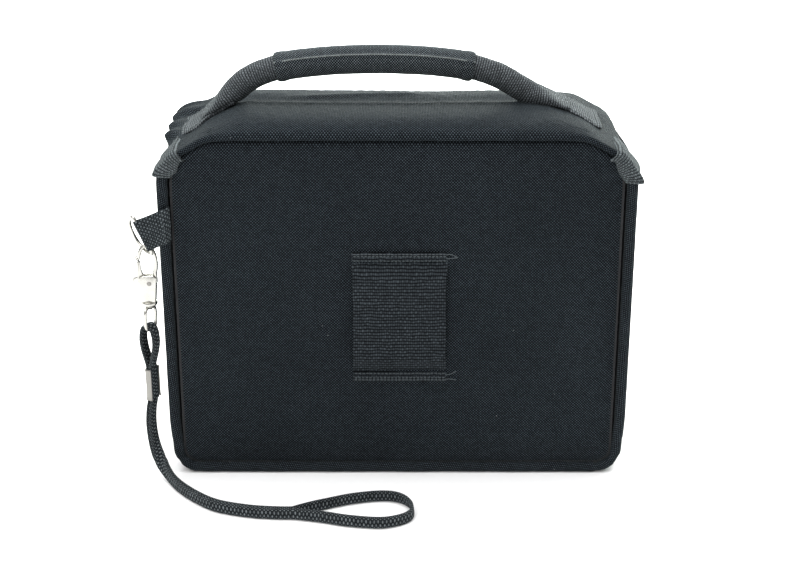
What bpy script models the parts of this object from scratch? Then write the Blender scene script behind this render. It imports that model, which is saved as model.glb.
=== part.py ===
"""A small padded carry case for gaming miniatures.

The case stands on its base and opens at the top: a lid hinged along the back seam is closed by a zip round
its left, front and right sides. A rolled webbing handle is sewn on the lid, a belt loop on the back, and a
side tab holds a D-ring, a swivelling lobster clasp and a wrist strap whose hand loop lies on the ground.

Frame: metres, +Z up, origin on the ground under the middle of the case. The back, which carries the belt
loop, faces -Y. +X is to the right of someone who faces the back.
"""

import math

import bmesh
import bpy
from mathutils import Matrix, Vector

mm = 0.001

# Driving dimensions
WIDTH = 210 * mm
DEPTH = 75 * mm
HEIGHT = 165 * mm  # back seam of the lid
CORNER_RADIUS = 12 * mm
SHOULDER_RADIUS = 18 * mm  # where a side leans in towards the lid
SHOULDER_HEIGHT = 142.6 * mm
SHOULDER_TURN = math.radians(60.3)
TOP_HALF_WIDTH = 84 * mm  # half the straight part of the lid's back seam
GAP = 0.3 * mm
COVER = 1.0 * mm
FOAM = 4.0 * mm
LINING = 0.5 * mm
PIPING_RADIUS = 2.1 * mm
PANEL_INSET = 2 * PIPING_RADIUS + 0.5 * mm
PANEL_CROWN = 1.0 * mm
GUSSET_HALF_DEPTH = 34.0 * mm

WALL_TOP = 146.7 * mm
LID_RIM = 153.4 * mm
LID_CROWN = 5.5 * mm
LID_REAR = -36.3 * mm
LID_PAD_REAR = -28.0 * mm

ZIP_HEIGHT = 150 * mm
ZIP_HALF_WIDTH = 101.0 * mm
ZIP_FRONT = DEPTH / 2
ZIP_REAR = -33.5 * mm
ZIP_CORNER = 6 * mm
TAPE_HEIGHT = 2.8 * mm
COIL_HEIGHT = 1.85 * mm
COIL_THICKNESS = 1.2 * mm

TRAY_SIZE = (190 * mm, 58 * mm, 42 * mm)
POCKET_SIZE = (32.5 * mm, 47 * mm, 36 * mm)
POCKETS = 5
BOARD_THICKNESS = 2 * mm

BELT_LOOP_WIDTH = 40 * mm
BELT_LOOP_CENTRE_X = 1 * mm
BELT_LOOP_BOTTOM = 49 * mm
BELT_LOOP_TOP = 112 * mm
WEBBING = 1.1 * mm

HANDLE_AXIS_HEIGHT = 171.7 * mm
ROLL_RADIUS = 5.7 * mm
CORE_RADIUS = 3.2 * mm
GRIP_RADIUS = 6.8 * mm
FOOT_WIDTH = 28 * mm

TAB_SLANT = math.radians(23)
TAB_WIDTH = 15 * mm
TAB_Y = -40.2 * mm
RING_BAR = Vector((-112.7 * mm, TAB_Y, 120.0 * mm))
RING_HALF_LENGTH = 9.5 * mm
RING_DEPTH = 10 * mm
RING_WIRE = 0.8 * mm
RING_TURN = math.radians(53)

CLASP_X = -112.2 * mm
CLASP_Y = -36.4 * mm
CLASP_TOP = 113.75 * mm
STRAP_WIDTH = 5.6 * mm
STRAP_THICKNESS = 1.3 * mm
STRAP_TURN = math.radians(28)
CORD_RADIUS = 3.0 * mm
CRIMP_TOP = 54.0 * mm
CRIMP_BOTTOM = 38.6 * mm

SLIDER_X = 5.4 * mm
SLIDER_Y = 40.2 * mm
PULL_Y = 42.6 * mm

# Colours are linear
CLOTH = (0.020, 0.026, 0.032)
WEB = (0.024, 0.029, 0.034)
LINER = (0.030, 0.032, 0.035)
PAD = (0.045, 0.045, 0.048)
NICKEL = (0.72, 0.71, 0.69)


# ---------------------------------------------------------------- scene and small helpers

for old in list(bpy.data.objects):
    bpy.data.objects.remove(old, do_unlink=True)

parts = bpy.data.collections.new("miniature_carry_case")
cutters = bpy.data.collections.new("cutters")
bpy.context.scene.collection.children.link(parts)
bpy.context.scene.collection.children.link(cutters)
cutters.hide_render = True


def material(name, colour, roughness, metallic=0.0):
    made = bpy.data.materials.new(name)
    made.use_nodes = True
    shader = made.node_tree.nodes["Principled BSDF"]
    shader.inputs["Base Color"].default_value = (*colour, 1.0)
    shader.inputs["Roughness"].default_value = roughness
    shader.inputs["Metallic"].default_value = metallic
    return made


def part(name, data, colour, roughness, metallic=0.0):
    """A named sub-part with its own material."""
    made = bpy.data.objects.new(name, data)
    parts.objects.link(made)
    made.data.materials.append(material(name, colour, roughness, metallic))
    return made


def cutter(name, data):
    made = bpy.data.objects.new(name, data)
    cutters.objects.link(made)
    made.hide_render = True
    made.display_type = "WIRE"
    return made


def smooth(obj, degrees=35):
    obj.data.shade_smooth()
    obj.data.set_sharp_from_angle(angle=math.radians(degrees))


def flat_curve(name, loops, thickness):
    """A flat outline in the curve's own XY plane, with any inner loops as holes, and an even thickness."""
    curve = bpy.data.curves.new(name, "CURVE")
    curve.dimensions = "2D"
    curve.fill_mode = "BOTH"
    curve.extrude = thickness / 2
    for loop in loops:
        spline = curve.splines.new("POLY")
        spline.points.add(len(loop) - 1)
        for point, (x, y) in zip(spline.points, loop):
            point.co = (x, y, 0, 1)
        spline.use_cyclic_u = True
    return curve


def wire_curve(name, points, radius, closed=False, sides=8, caps=True):
    """A round wire, cord or roll along points."""
    curve = bpy.data.curves.new(name, "CURVE")
    curve.dimensions = "3D"
    curve.bevel_depth = radius
    curve.bevel_resolution = sides // 2 - 2
    curve.use_fill_caps = caps
    spline = curve.splines.new("POLY")
    spline.points.add(len(points) - 1)
    for place, point in zip(spline.points, points):
        place.co = (*point, 1)
    spline.use_cyclic_u = closed
    return curve


def as_mesh(obj):
    """The curve object made a mesh with its caps welded, so that it takes a Boolean."""
    bpy.context.view_layer.update()
    evaluated = obj.evaluated_get(bpy.context.evaluated_depsgraph_get())
    mesh = bpy.data.meshes.new_from_object(evaluated)
    edit = bmesh.new()
    edit.from_mesh(mesh)
    bmesh.ops.remove_doubles(edit, verts=edit.verts, dist=1e-6)
    bmesh.ops.recalc_face_normals(edit, faces=edit.faces)
    edit.to_mesh(mesh)
    edit.free()
    name = obj.name
    collection = obj.users_collection[0]
    made = bpy.data.objects.new(name + "_mesh", mesh)
    made.matrix_world = obj.matrix_world.copy()
    made.hide_render = obj.hide_render
    made.display_type = obj.display_type
    collection.objects.link(made)
    bpy.data.objects.remove(obj)
    made.name = name
    return made


def box_mesh(name, size, centre):
    edit = bmesh.new()
    bmesh.ops.create_cube(edit, size=1.0)
    bmesh.ops.scale(edit, vec=size, verts=edit.verts)
    bmesh.ops.translate(edit, vec=centre, verts=edit.verts)
    mesh = bpy.data.meshes.new(name)
    edit.to_mesh(mesh)
    edit.free()
    return mesh


def cylinder_mesh(name, radius, low, high, sides=16):
    """A cylinder from the point low to the point high."""
    low, high = Vector(low), Vector(high)
    turn = (high - low).to_track_quat("Z", "Y").to_matrix().to_4x4()
    edit = bmesh.new()
    bmesh.ops.create_cone(
        edit,
        cap_ends=True,
        segments=sides,
        radius1=radius,
        radius2=radius,
        depth=(high - low).length,
        matrix=Matrix.Translation((low + high) / 2) @ turn,
    )
    mesh = bpy.data.meshes.new(name)
    edit.to_mesh(mesh)
    edit.free()
    return mesh


def boolean(obj, other, operation):
    change = obj.modifiers.new(other.name, "BOOLEAN")
    change.operation = operation
    change.object = other
    change.solver = "EXACT"


def bevel(obj, width, segments=1):
    change = obj.modifiers.new("edges", "BEVEL")
    change.width = width
    change.segments = segments
    change.limit_method = "ANGLE"
    change.angle_limit = math.radians(40)


def upright(obj, y):
    """Turns a flat outline drawn as (x, z) so that its thickness runs along Y, with its middle at y."""
    obj.matrix_world = Matrix.Translation((0, y, 0)) @ Matrix.Rotation(math.pi / 2, 4, "X")


def level(obj, z):
    obj.matrix_world = Matrix.Translation((0, 0, z))


def along_x(obj, x):
    """Turns a flat outline drawn as (y, z) so that its thickness runs along X, with its middle at x."""
    turn = Matrix(((0, 0, 1, 0), (1, 0, 0, 0), (0, 1, 0, 0), (0, 0, 0, 1)))
    obj.matrix_world = Matrix.Translation((x, 0, 0)) @ turn


def axis_empty(name, place, direction, parent=None):
    """An empty on a joint's axis, with its own Z along the axis."""
    made = bpy.data.objects.new(name, None)
    made.empty_display_size = 10 * mm
    parts.objects.link(made)
    turn = Vector(direction).to_track_quat("Z", "Y").to_matrix().to_4x4()
    made.matrix_world = Matrix.Translation(place) @ turn
    if parent:
        carry(parent, made)
    return made


def carry(parent, *children):
    """Parents the children where they are."""
    bpy.context.view_layer.update()
    for child in children:
        child.parent = parent
        child.matrix_parent_inverse = parent.matrix_world.inverted()


# ---------------------------------------------------------------- the case's outline, seen from the back


def side_curve(inset, steps=5):
    """The right side of the outline from the bottom corner to the lid's back seam, moved inwards by inset."""
    points = []
    radius = CORNER_RADIUS - inset
    for i in range(steps + 1):
        turn = math.pi / 2 * (i / steps - 1)
        x = WIDTH / 2 - CORNER_RADIUS + radius * math.cos(turn)
        points.append((x, CORNER_RADIUS + radius * math.sin(turn)))
    radius = SHOULDER_RADIUS - inset
    for i in range(steps + 1):
        turn = SHOULDER_TURN * i / steps
        x = WIDTH / 2 - SHOULDER_RADIUS + radius * math.cos(turn)
        points.append((x, SHOULDER_HEIGHT + radius * math.sin(turn)))
    # The two straight edges that meet at the seam's end lean 29.7 degrees apart.
    points.append((TOP_HALF_WIDTH - 0.266 * inset, HEIGHT - inset))
    return points


def between(points, low, high):
    """The stretch of a rising line of points from height low to height high."""
    kept = []
    for (x0, z0), (x1, z1) in zip(points, points[1:]):
        if z1 < low or z0 > high or z1 - z0 < 1e-9:
            continue
        start = max(0.0, (low - z0) / (z1 - z0))
        end = min(1.0, (high - z0) / (z1 - z0))
        for share in (start, end):
            point = (x0 + (x1 - x0) * share, z0 + (z1 - z0) * share)
            if not kept or abs(kept[-1][0] - point[0]) + abs(kept[-1][1] - point[1]) > 1e-7:
                kept.append(point)
    return kept


def both_sides(points):
    """A right-hand line of points with its mirror image before it, from the left top down and up again."""
    return [(-x, z) for x, z in reversed(points)] + list(points)


def wall_band(inset, thickness):
    """The closed outline of a U-shaped wall that runs down one side, along the bottom and up the other."""
    outer = both_sides(between(side_curve(inset), 0, WALL_TOP))
    inner = both_sides(between(side_curve(inset + thickness), 0, WALL_TOP))
    return outer + inner[::-1]


def panel_crown(x, z, half_width):
    across = 1 - (x / half_width) ** 2
    upwards = 1 - ((z - HEIGHT / 2) / (HEIGHT / 2)) ** 2
    return PANEL_CROWN * max(0, across) * max(0, upwards)


def panel(name, side, face_y, edge, thickness, colour, roughness):
    """A slightly crowned panel. side is -1 for the back and 1 for the front, face_y its outer face's
    distance from the middle, and edge the right-hand outline."""
    columns = 8
    grid = bmesh.new()
    rows = len(edge) - 1
    bmesh.ops.create_grid(grid, x_segments=columns, y_segments=rows, size=1)
    for vert in grid.verts:
        across = vert.co.x
        half_width, z = edge[round((vert.co.y + 1) / 2 * rows)]
        y = face_y + panel_crown(across * half_width, z, half_width)
        vert.co = (across * half_width, side * y, z)
    bmesh.ops.recalc_face_normals(grid, faces=grid.faces)
    if grid.faces[0].normal.y * side < 0:
        bmesh.ops.reverse_faces(grid, faces=grid.faces)
    mesh = bpy.data.meshes.new(name)
    grid.to_mesh(mesh)
    grid.free()
    made = part(name, mesh, colour, roughness)
    wall = made.modifiers.new("thickness", "SOLIDIFY")
    wall.thickness = thickness
    wall.offset = -1
    wall.use_even_offset = False
    smooth(made)
    return made


# ---------------------------------------------------------------- body: back, front and gusset

back_face = DEPTH / 2
foam_face = back_face - COVER - GAP
lining_face = foam_face - FOAM - GAP
LINING_INSET = 6.5 * mm

# Beside the piping the back panel stops short of it. Above the piping it runs out to the lid's edge.
back_edge = between(side_curve(PANEL_INSET), 0, 147.2 * mm) + between(
    side_curve(GAP), 150.5 * mm, HEIGHT
)
front_edge = between(side_curve(PANEL_INSET), 0, WALL_TOP)

panel("back_panel", -1, back_face, back_edge, COVER, CLOTH, 0.85)
panel("front_panel", 1, back_face, front_edge, COVER, CLOTH, 0.85)
panel("back_foam", -1, foam_face, between(side_curve(PANEL_INSET), 0, HEIGHT), FOAM, PAD, 0.95)
panel("front_foam", 1, foam_face, front_edge, FOAM, PAD, 0.95)
back_inside = between(side_curve(LINING_INSET), 0, HEIGHT)
front_inside = between(side_curve(LINING_INSET), 0, WALL_TOP)
panel("back_lining", -1, lining_face, back_inside, LINING, LINER, 0.8)
panel("front_lining", 1, lining_face, front_inside, LINING, LINER, 0.8)

for name, inset, thickness, half_depth, colour in (
    ("gusset_cover", 0, COVER, GUSSET_HALF_DEPTH, CLOTH),
    ("gusset_foam", COVER + GAP, FOAM, lining_face, PAD),
    ("gusset_lining", COVER + FOAM + 2 * GAP, LINING, lining_face, LINER),
):
    wall = part(name, flat_curve(name, [wall_band(inset, thickness)], 2 * half_depth), colour, 0.85)
    upright(wall, 0)

piping_line = both_sides(between(side_curve(PIPING_RADIUS), 0, 147 * mm))
for name, side in (("back_piping", -1), ("front_piping", 1)):
    y = side * (back_face - PIPING_RADIUS + COVER)
    line = [(x, y, min(z, WALL_TOP if side > 0 else z)) for x, z in piping_line]
    part(name, wire_curve(name, line, PIPING_RADIUS), CLOTH, 0.85)


# ---------------------------------------------------------------- belt loop on the back


def belt_loop_line(offset):
    """The webbing's line seen from the side: flat sewn ends and a bow that a belt slides behind."""
    sewn = 5 * mm
    rise = 4.5 * mm
    knee = 1.2 * mm
    sewn_y = -(back_face + PANEL_CROWN + GAP)
    half = [(0, 0), (0, sewn), (rise * 0.7, sewn + knee), (rise, 2 * sewn)]
    lower = [(sewn_y - out - offset, BELT_LOOP_BOTTOM + up) for out, up in half]
    upper = [(sewn_y - out - offset, BELT_LOOP_TOP - up) for out, up in reversed(half)]
    return lower + upper


belt_outline = belt_loop_line(0) + belt_loop_line(WEBBING)[::-1]
belt_loop = part("belt_loop", flat_curve("belt_loop", [belt_outline], BELT_LOOP_WIDTH), WEB, 0.8)
along_x(belt_loop, BELT_LOOP_CENTRE_X)


# ---------------------------------------------------------------- inside: board and foam trays

board_z = COVER + FOAM + LINING + 3 * GAP
board = part("bottom_board", box_mesh("bottom_board", (184 * mm, 59 * mm, BOARD_THICKNESS),
             (0, 0, board_z + BOARD_THICKNESS / 2)), (0.08, 0.08, 0.08), 0.6)

tray_low = board_z + BOARD_THICKNESS + GAP
pocket_step = TRAY_SIZE[0] / POCKETS
for level_number, name in enumerate(("foam_tray_bottom", "foam_tray_middle", "foam_tray_top")):
    low = tray_low + level_number * (TRAY_SIZE[2] + GAP)
    tray = part(name, box_mesh(name, TRAY_SIZE, (0, 0, low + TRAY_SIZE[2] / 2)), PAD, 0.95)
    pockets = bmesh.new()
    for i in range(POCKETS):
        made = bmesh.ops.create_cube(pockets, size=1.0)["verts"]
        x = (i - (POCKETS - 1) / 2) * pocket_step
        z = low + TRAY_SIZE[2] - POCKET_SIZE[2] / 2 + 1 * mm
        bmesh.ops.scale(pockets, vec=(POCKET_SIZE[0], POCKET_SIZE[1], POCKET_SIZE[2] + 2 * mm), verts=made)
        bmesh.ops.translate(pockets, vec=(x, 0, z), verts=made)
    pocket_mesh = bpy.data.meshes.new(name + "_pockets")
    pockets.to_mesh(pocket_mesh)
    pockets.free()
    boolean(tray, cutter(name + "_pockets", pocket_mesh), "DIFFERENCE")


# ---------------------------------------------------------------- lid


def lid_crown(x, y):
    across = min(1.0, max(0.0, (92 * mm - abs(x)) / (26 * mm)))
    across = across * across * (3 - 2 * across)
    return LID_CROWN * across * max(0.0, 1 - (y / (DEPTH / 2)) ** 2)


def lid_skin(edit, inset, rear):
    """Adds one surface of the lid, moved inwards by inset: its top and sloping ends, then its front rim."""
    slope = between(side_curve(inset), LID_RIM, HEIGHT)
    seam_half, seam_z = slope[-1]
    top = [(seam_half * share, seam_z) for share in (-0.8, -0.55, -0.28, 0, 0.28, 0.55, 0.8)]
    across = [(-x, z) for x, z in slope] + top + slope[::-1]
    front = DEPTH / 2 - inset
    top_rows = 5
    rim_rows = 2
    rows = top_rows + rim_rows
    made = bmesh.ops.create_grid(edit, x_segments=len(across) - 1, y_segments=rows, size=1)["verts"]
    for vert in made:
        x, z = across[round((vert.co.x + 1) / 2 * (len(across) - 1))]
        row = round((vert.co.y + 1) / 2 * rows)
        if row <= top_rows:
            y = rear + (front - rear) * row / top_rows
            vert.co = (x, y, z + lid_crown(x, y))
        else:
            vert.co = (x, front, z + (LID_RIM - z) * (row - top_rows) / rim_rows)
    bmesh.ops.remove_doubles(edit, verts=made, dist=1e-5)


def lid_shell(name, inset, rear, thickness, colour, roughness):
    """One layer of the lid: an outer and an inner surface joined round the open edge."""
    edit = bmesh.new()
    lid_skin(edit, inset, rear)
    lid_skin(edit, inset + thickness, rear)
    bmesh.ops.bridge_loops(edit, edges=[edge for edge in edit.edges if edge.is_boundary])
    bmesh.ops.recalc_face_normals(edit, faces=edit.faces)
    mesh = bpy.data.meshes.new(name)
    edit.to_mesh(mesh)
    edit.free()
    made = part(name, mesh, colour, roughness)
    smooth(made)
    return made


lid_axis = axis_empty("lid_axis", (0, -DEPTH / 2, HEIGHT), (1, 0, 0))
LID_FOAM = 3.2 * mm
LID_GAP = 0.8 * mm  # the crown's slope narrows it
lid_cover = lid_shell("lid_cover", 0, LID_REAR, COVER, CLOTH, 0.85)
lid_foam = lid_shell("lid_foam", COVER + LID_GAP, LID_PAD_REAR, LID_FOAM, PAD, 0.95)
lid_lining = lid_shell("lid_lining", COVER + LID_FOAM + 2 * LID_GAP, LID_PAD_REAR, LINING, LINER, 0.8)
carry(lid_axis, lid_cover, lid_foam, lid_lining)


def zip_band(outwards, thickness):
    """A flat U round the left, front and right sides, its outer edge moved outwards from the zip's line."""

    def line(offset):
        half = ZIP_HALF_WIDTH + offset
        front = ZIP_FRONT + offset
        radius = ZIP_CORNER + offset
        steps = 5
        bend = [
            (half - radius + radius * math.cos(turn), front - radius + radius * math.sin(turn))
            for turn in (math.pi / 2 * i / steps for i in range(steps + 1))
        ]
        right = [(half, ZIP_REAR)] + bend
        return right + [(-x, y) for x, y in reversed(right)]

    return line(outwards) + line(outwards - thickness)[::-1]


split = 0.15 * mm  # from the zip's centre line to each half
for name, side in (("body_zip", -1), ("lid_zip", 1)):
    tape_z = ZIP_HEIGHT + side * (split + TAPE_HEIGHT / 2)
    coil_z = ZIP_HEIGHT + side * (split + COIL_HEIGHT / 2)
    tape_curve = flat_curve(name + "_tape", [zip_band(0, COVER)], TAPE_HEIGHT)
    coil_curve = flat_curve(name + "_coil", [zip_band(GAP + COIL_THICKNESS, COIL_THICKNESS)], COIL_HEIGHT)
    tape = part(name + "_tape", tape_curve, WEB, 0.8)
    coil = part(name + "_coil", coil_curve, (0.012, 0.012, 0.014), 0.45)
    level(tape, tape_z)
    level(coil, coil_z)
    if side > 0:
        carry(lid_axis, tape, coil)


def corner_tab_outline():
    """The right-hand tab seen from the back: a strip of webbing laid over the shoulder, its end flared."""
    under = [p for p in side_curve(-GAP, 6) if p[1] >= SHOULDER_HEIGHT and p[0] > 90 * mm]
    over = [p for p in side_curve(-GAP - WEBBING, 6) if p[1] >= SHOULDER_HEIGHT and p[0] > 90 * mm]
    under = [(under[0][0] + 1.6 * mm, SHOULDER_HEIGHT - 5 * mm)] + under
    over = [(over[0][0] + 2.4 * mm, SHOULDER_HEIGHT - 5 * mm)] + over
    return under + over[::-1]


TAB_REAR, TAB_FRONT = -37.2 * mm, -14.6 * mm
for name, side in (("corner_tab_left", -1), ("corner_tab_right", 1)):
    outline = [(side * x, z) for x, z in corner_tab_outline()]
    tab = part(name, flat_curve(name, [outline], TAB_FRONT - TAB_REAR), WEB, 0.8)
    upright(tab, (TAB_REAR + TAB_FRONT) / 2)
    carry(lid_axis, tab)


# ---------------------------------------------------------------- handle


def foot_outline(side, lower_end, upper_end):
    """Webbing sewn flat on the lid's sloping end, from lower_end up to upper_end."""
    steps = 7
    line = []
    slope = between(side_curve(0, 8), LID_RIM, HEIGHT)
    for i in range(steps + 1):
        x = lower_end + (upper_end - lower_end) * i / steps
        z = HEIGHT
        for (x0, z0), (x1, z1) in zip(slope, slope[1:]):
            if x1 <= x <= x0:
                z = z0 + (z1 - z0) * (x0 - x) / (x0 - x1)
        line.append((side * x, z + lid_crown(x, 0)))
    lower = [(x, z + 0.6 * mm) for x, z in line]
    upper = [(x, z + 0.6 * mm + WEBBING) for x, z in line]
    return lower + upper[::-1]


for name, side, lower_end, upper_end in (
    ("handle_foot_left", -1, 97 * mm, 71 * mm),
    ("handle_foot_right", 1, 92 * mm, 68 * mm),
):
    foot = part(name, flat_curve(name, [foot_outline(side, lower_end, upper_end)], FOOT_WIDTH), WEB, 0.8)
    upright(foot, 0)
    carry(lid_axis, foot)

# The arch's middle line, seen from the back. Its grip sits left of the middle.
ARCH = [
    (-67.0, 176.3), (-58.6, 182.0), (-53.6, 185.4), (-45.0, 187.6), (-31.5, 189.0), (-20.0, 189.6),
    (-9.0, 189.8), (2.0, 189.6), (13.5, 189.0), (25.0, 187.8), (34.2, 186.2), (45.4, 182.4),
    (54.0, 178.2), (60.5, 177.5),
]
arch = [(x * mm, 0, z * mm) for x, z in ARCH]
grip_line = arch[2:11]
handle_axis = axis_empty("handle_axis", (0, 0, HANDLE_AXIS_HEIGHT), (1, 0, 0), lid_axis)


def sleeve(name, line, radius, thickness, colour, roughness):
    """A hollow roll of fabric along a line."""
    open_tube = as_mesh(part(name, wire_curve(name, line, radius, sides=10, caps=False), colour, roughness))
    wall = open_tube.modifiers.new("thickness", "SOLIDIFY")
    wall.thickness = thickness
    wall.offset = -1
    wall.use_even_offset = True
    smooth(open_tube)
    return open_tube


core = part("handle_core", wire_curve("handle_core", arch[1:-1], CORE_RADIUS), PAD, 0.9)
roll = sleeve("handle_webbing", arch, ROLL_RADIUS, ROLL_RADIUS - CORE_RADIUS - 2 * GAP, WEB, 0.8)
grip = sleeve("handle_grip", grip_line, GRIP_RADIUS, GRIP_RADIUS - ROLL_RADIUS - GAP, CLOTH, 0.85)
carry(handle_axis, core, roll, grip)


# ---------------------------------------------------------------- zip sliders and pulls


def slider(name, x):
    """A slider's face plate with the lip below the body's coil and the bridge that holds the pull."""
    plate = part(name, box_mesh(name, (9 * mm, 1.4 * mm, 8.8 * mm), (x, SLIDER_Y + 0.7 * mm, ZIP_HEIGHT)),
                 (0.03, 0.03, 0.033), 0.35, 0.6)
    lip_depth = 2.6 * mm
    lip_mesh = box_mesh(name + "_lip", (8 * mm, lip_depth, 1.4 * mm),
                        (x, SLIDER_Y + 0.6 * mm - lip_depth / 2, ZIP_HEIGHT - 3.6 * mm))
    bridge_line = [
        (x, SLIDER_Y + 0.7 * mm, ZIP_HEIGHT - 3.2 * mm),
        (x, SLIDER_Y + 3.0 * mm, ZIP_HEIGHT - 2.9 * mm),
        (x, SLIDER_Y + 4.3 * mm, ZIP_HEIGHT - 1.6 * mm),
        (x, SLIDER_Y + 4.3 * mm, ZIP_HEIGHT + 1.6 * mm),
        (x, SLIDER_Y + 3.0 * mm, ZIP_HEIGHT + 2.9 * mm),
        (x, SLIDER_Y + 0.7 * mm, ZIP_HEIGHT + 3.2 * mm),
    ]
    bridge = as_mesh(cutter(name + "_bridge", wire_curve(name + "_bridge", bridge_line, 0.8 * mm)))
    boolean(plate, cutter(name + "_lip", lip_mesh), "UNION")
    boolean(plate, bridge, "UNION")
    return plate


def pull(name, x):
    """A wire eye round the slider's bridge with a flat tag hanging from it."""
    half = 2.7 * mm
    top, bottom = ZIP_HEIGHT, ZIP_HEIGHT - 8 * mm
    corners = [(-half, top), (half, top), (half, bottom), (-half, bottom)]
    line = [(x + aside, PULL_Y, z) for aside, z in corners]
    tag_size = (7 * mm, 1.4 * mm, 18 * mm)
    tag = part(name, box_mesh(name, tag_size, (x, PULL_Y, bottom - 8.4 * mm)), (0.03, 0.03, 0.033), 0.4, 0.5)
    eye = as_mesh(cutter(name + "_eye", wire_curve(name + "_eye", line, 0.6 * mm, closed=True)))
    boolean(tag, eye, "UNION")
    return tag


for side_name, side in (("left", -1), ("right", 1)):
    x = side * SLIDER_X
    run_axis = axis_empty("slider_axis_" + side_name, (x, SLIDER_Y, ZIP_HEIGHT), (side, 0, 0))
    pull_axis = axis_empty("pull_axis_" + side_name, (x, PULL_Y, ZIP_HEIGHT), (1, 0, 0), run_axis)
    carry(run_axis, slider("slider_" + side_name, x))
    carry(pull_axis, pull("pull_" + side_name, x))


# ---------------------------------------------------------------- side tab and D-ring

tab_out = Vector((-math.cos(TAB_SLANT), 0, -math.sin(TAB_SLANT)))  # from the seam outwards
tab_down = Vector((math.sin(TAB_SLANT), 0, -math.cos(TAB_SLANT)))  # along the ring's bar
to_back = Vector((0, 1, 0))

# The tab's outline is drawn across its fold: x outwards from the ring's bar, y through its thickness.
eye_outer, eye_inner = 2.3 * mm, RING_WIRE + GAP + 0.05 * mm
half_thickness = 1.1 * mm
seam_x = -13.0 * mm
meet = math.asin(half_thickness / eye_outer)
eye = [
    (eye_outer * math.cos(turn), eye_outer * math.sin(turn))
    for turn in (-(math.pi - meet) + 2 * (math.pi - meet) * i / 14 for i in range(15))
]
tab_loop = [(seam_x, half_thickness), (seam_x, -half_thickness)] + eye
hole = [(eye_inner * math.cos(math.tau * i / 12), eye_inner * math.sin(math.tau * i / 12)) for i in range(12)]
side_tab = part("side_tab", flat_curve("side_tab", [tab_loop, hole], TAB_WIDTH), WEB, 0.8)
tab_turn = Matrix((tab_out, to_back, tab_down)).transposed().to_4x4()
side_tab.matrix_world = Matrix.Translation(RING_BAR) @ tab_turn

ring_bow = tab_out * math.cos(RING_TURN) + to_back * math.sin(RING_TURN)


def ring_point(turn):
    along = tab_down * (RING_HALF_LENGTH * math.cos(turn))
    return RING_BAR + along + ring_bow * (RING_DEPTH * math.sin(turn))


ring_steps = 14
ring_line = [ring_point(math.pi * i / ring_steps) for i in range(ring_steps + 1)]
ring_axis = axis_empty("ring_axis", RING_BAR, tab_down)
d_ring = part("d_ring", wire_curve("d_ring", ring_line, RING_WIRE, closed=True), NICKEL, 0.2, 1.0)
carry(ring_axis, d_ring)


# ---------------------------------------------------------------- lobster clasp

clasp_place = Vector((CLASP_X, CLASP_Y, CLASP_TOP))
hook_wire = 0.95 * mm
ring_touch = ring_point(math.asin((CLASP_Y - TAB_Y) / (RING_DEPTH * math.sin(RING_TURN))))


def at_clasp(x, below, y=0.0):
    """A point in the clasp: x to the right and below its top, in millimetres."""
    return clasp_place + Vector((x * mm, y * mm, -below * mm))


body_outline = [(-4.1, -14.4), (-3.0, -26.7), (3.0, -26.7), (4.0, -14.4), (2.2, -13.6), (-2.4, -13.6)]
body_outline = [(x * mm, z * mm) for x, z in body_outline]
clasp_hook = part("clasp_hook", flat_curve("clasp_hook", [body_outline], 5 * mm), NICKEL, 0.2, 1.0)
clasp_hook.matrix_world = Matrix.Translation(clasp_place) @ Matrix.Rotation(math.pi / 2, 4, "X")
clasp_hook = as_mesh(clasp_hook)

hook_half_width, hook_half_height = 3.9, 8.2
hook_line = [at_clasp(3.35, 16.2)]
for i in range(15):
    turn = math.radians(-35 + 198 * i / 14)
    x = hook_half_width * math.cos(turn)
    below = hook_half_height * (1 - math.sin(turn))
    hook_line.append(at_clasp(x, below))
hook_cutter = as_mesh(cutter("hook_wire", wire_curve("hook_wire", hook_line, hook_wire)))
collar = cutter("clasp_collar", cylinder_mesh("clasp_collar", 3.6 * mm, at_clasp(0, 28.2), at_clasp(0, 26.6)))
slot = cutter("lever_slot", box_mesh("lever_slot", (8 * mm, 2 * mm, 10.5 * mm), at_clasp(-1.4, 17.5)))
bore = cutter("swivel_bore", cylinder_mesh("swivel_bore", 1.3 * mm, at_clasp(0, 29), at_clasp(0, 22)))
head_room_mesh = cylinder_mesh("swivel_room", 2.0 * mm, at_clasp(0, 23.9), at_clasp(0, 21.6))
head_room = cutter("swivel_room", head_room_mesh)
PIN_X, PIN_BELOW, PIN_HALF = 0.7, 17.4, 2.8
PIN_RADIUS, PIN_HOLE = 0.65 * mm, 0.95 * mm
hole_ends = at_clasp(PIN_X, PIN_BELOW, -4), at_clasp(PIN_X, PIN_BELOW, 4)
pin_hole = cutter("pin_hole", cylinder_mesh("pin_hole", PIN_HOLE, *hole_ends))
boolean(clasp_hook, collar, "UNION")
boolean(clasp_hook, slot, "DIFFERENCE")
boolean(clasp_hook, bore, "DIFFERENCE")
boolean(clasp_hook, head_room, "DIFFERENCE")
boolean(clasp_hook, hook_cutter, "UNION")
boolean(clasp_hook, pin_hole, "DIFFERENCE")

pin_ends = at_clasp(PIN_X, PIN_BELOW, -PIN_HALF), at_clasp(PIN_X, PIN_BELOW, PIN_HALF)
lever_pin = part("lever_pin", cylinder_mesh("lever_pin", PIN_RADIUS, *pin_ends), NICKEL, 0.25, 1.0)

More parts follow.
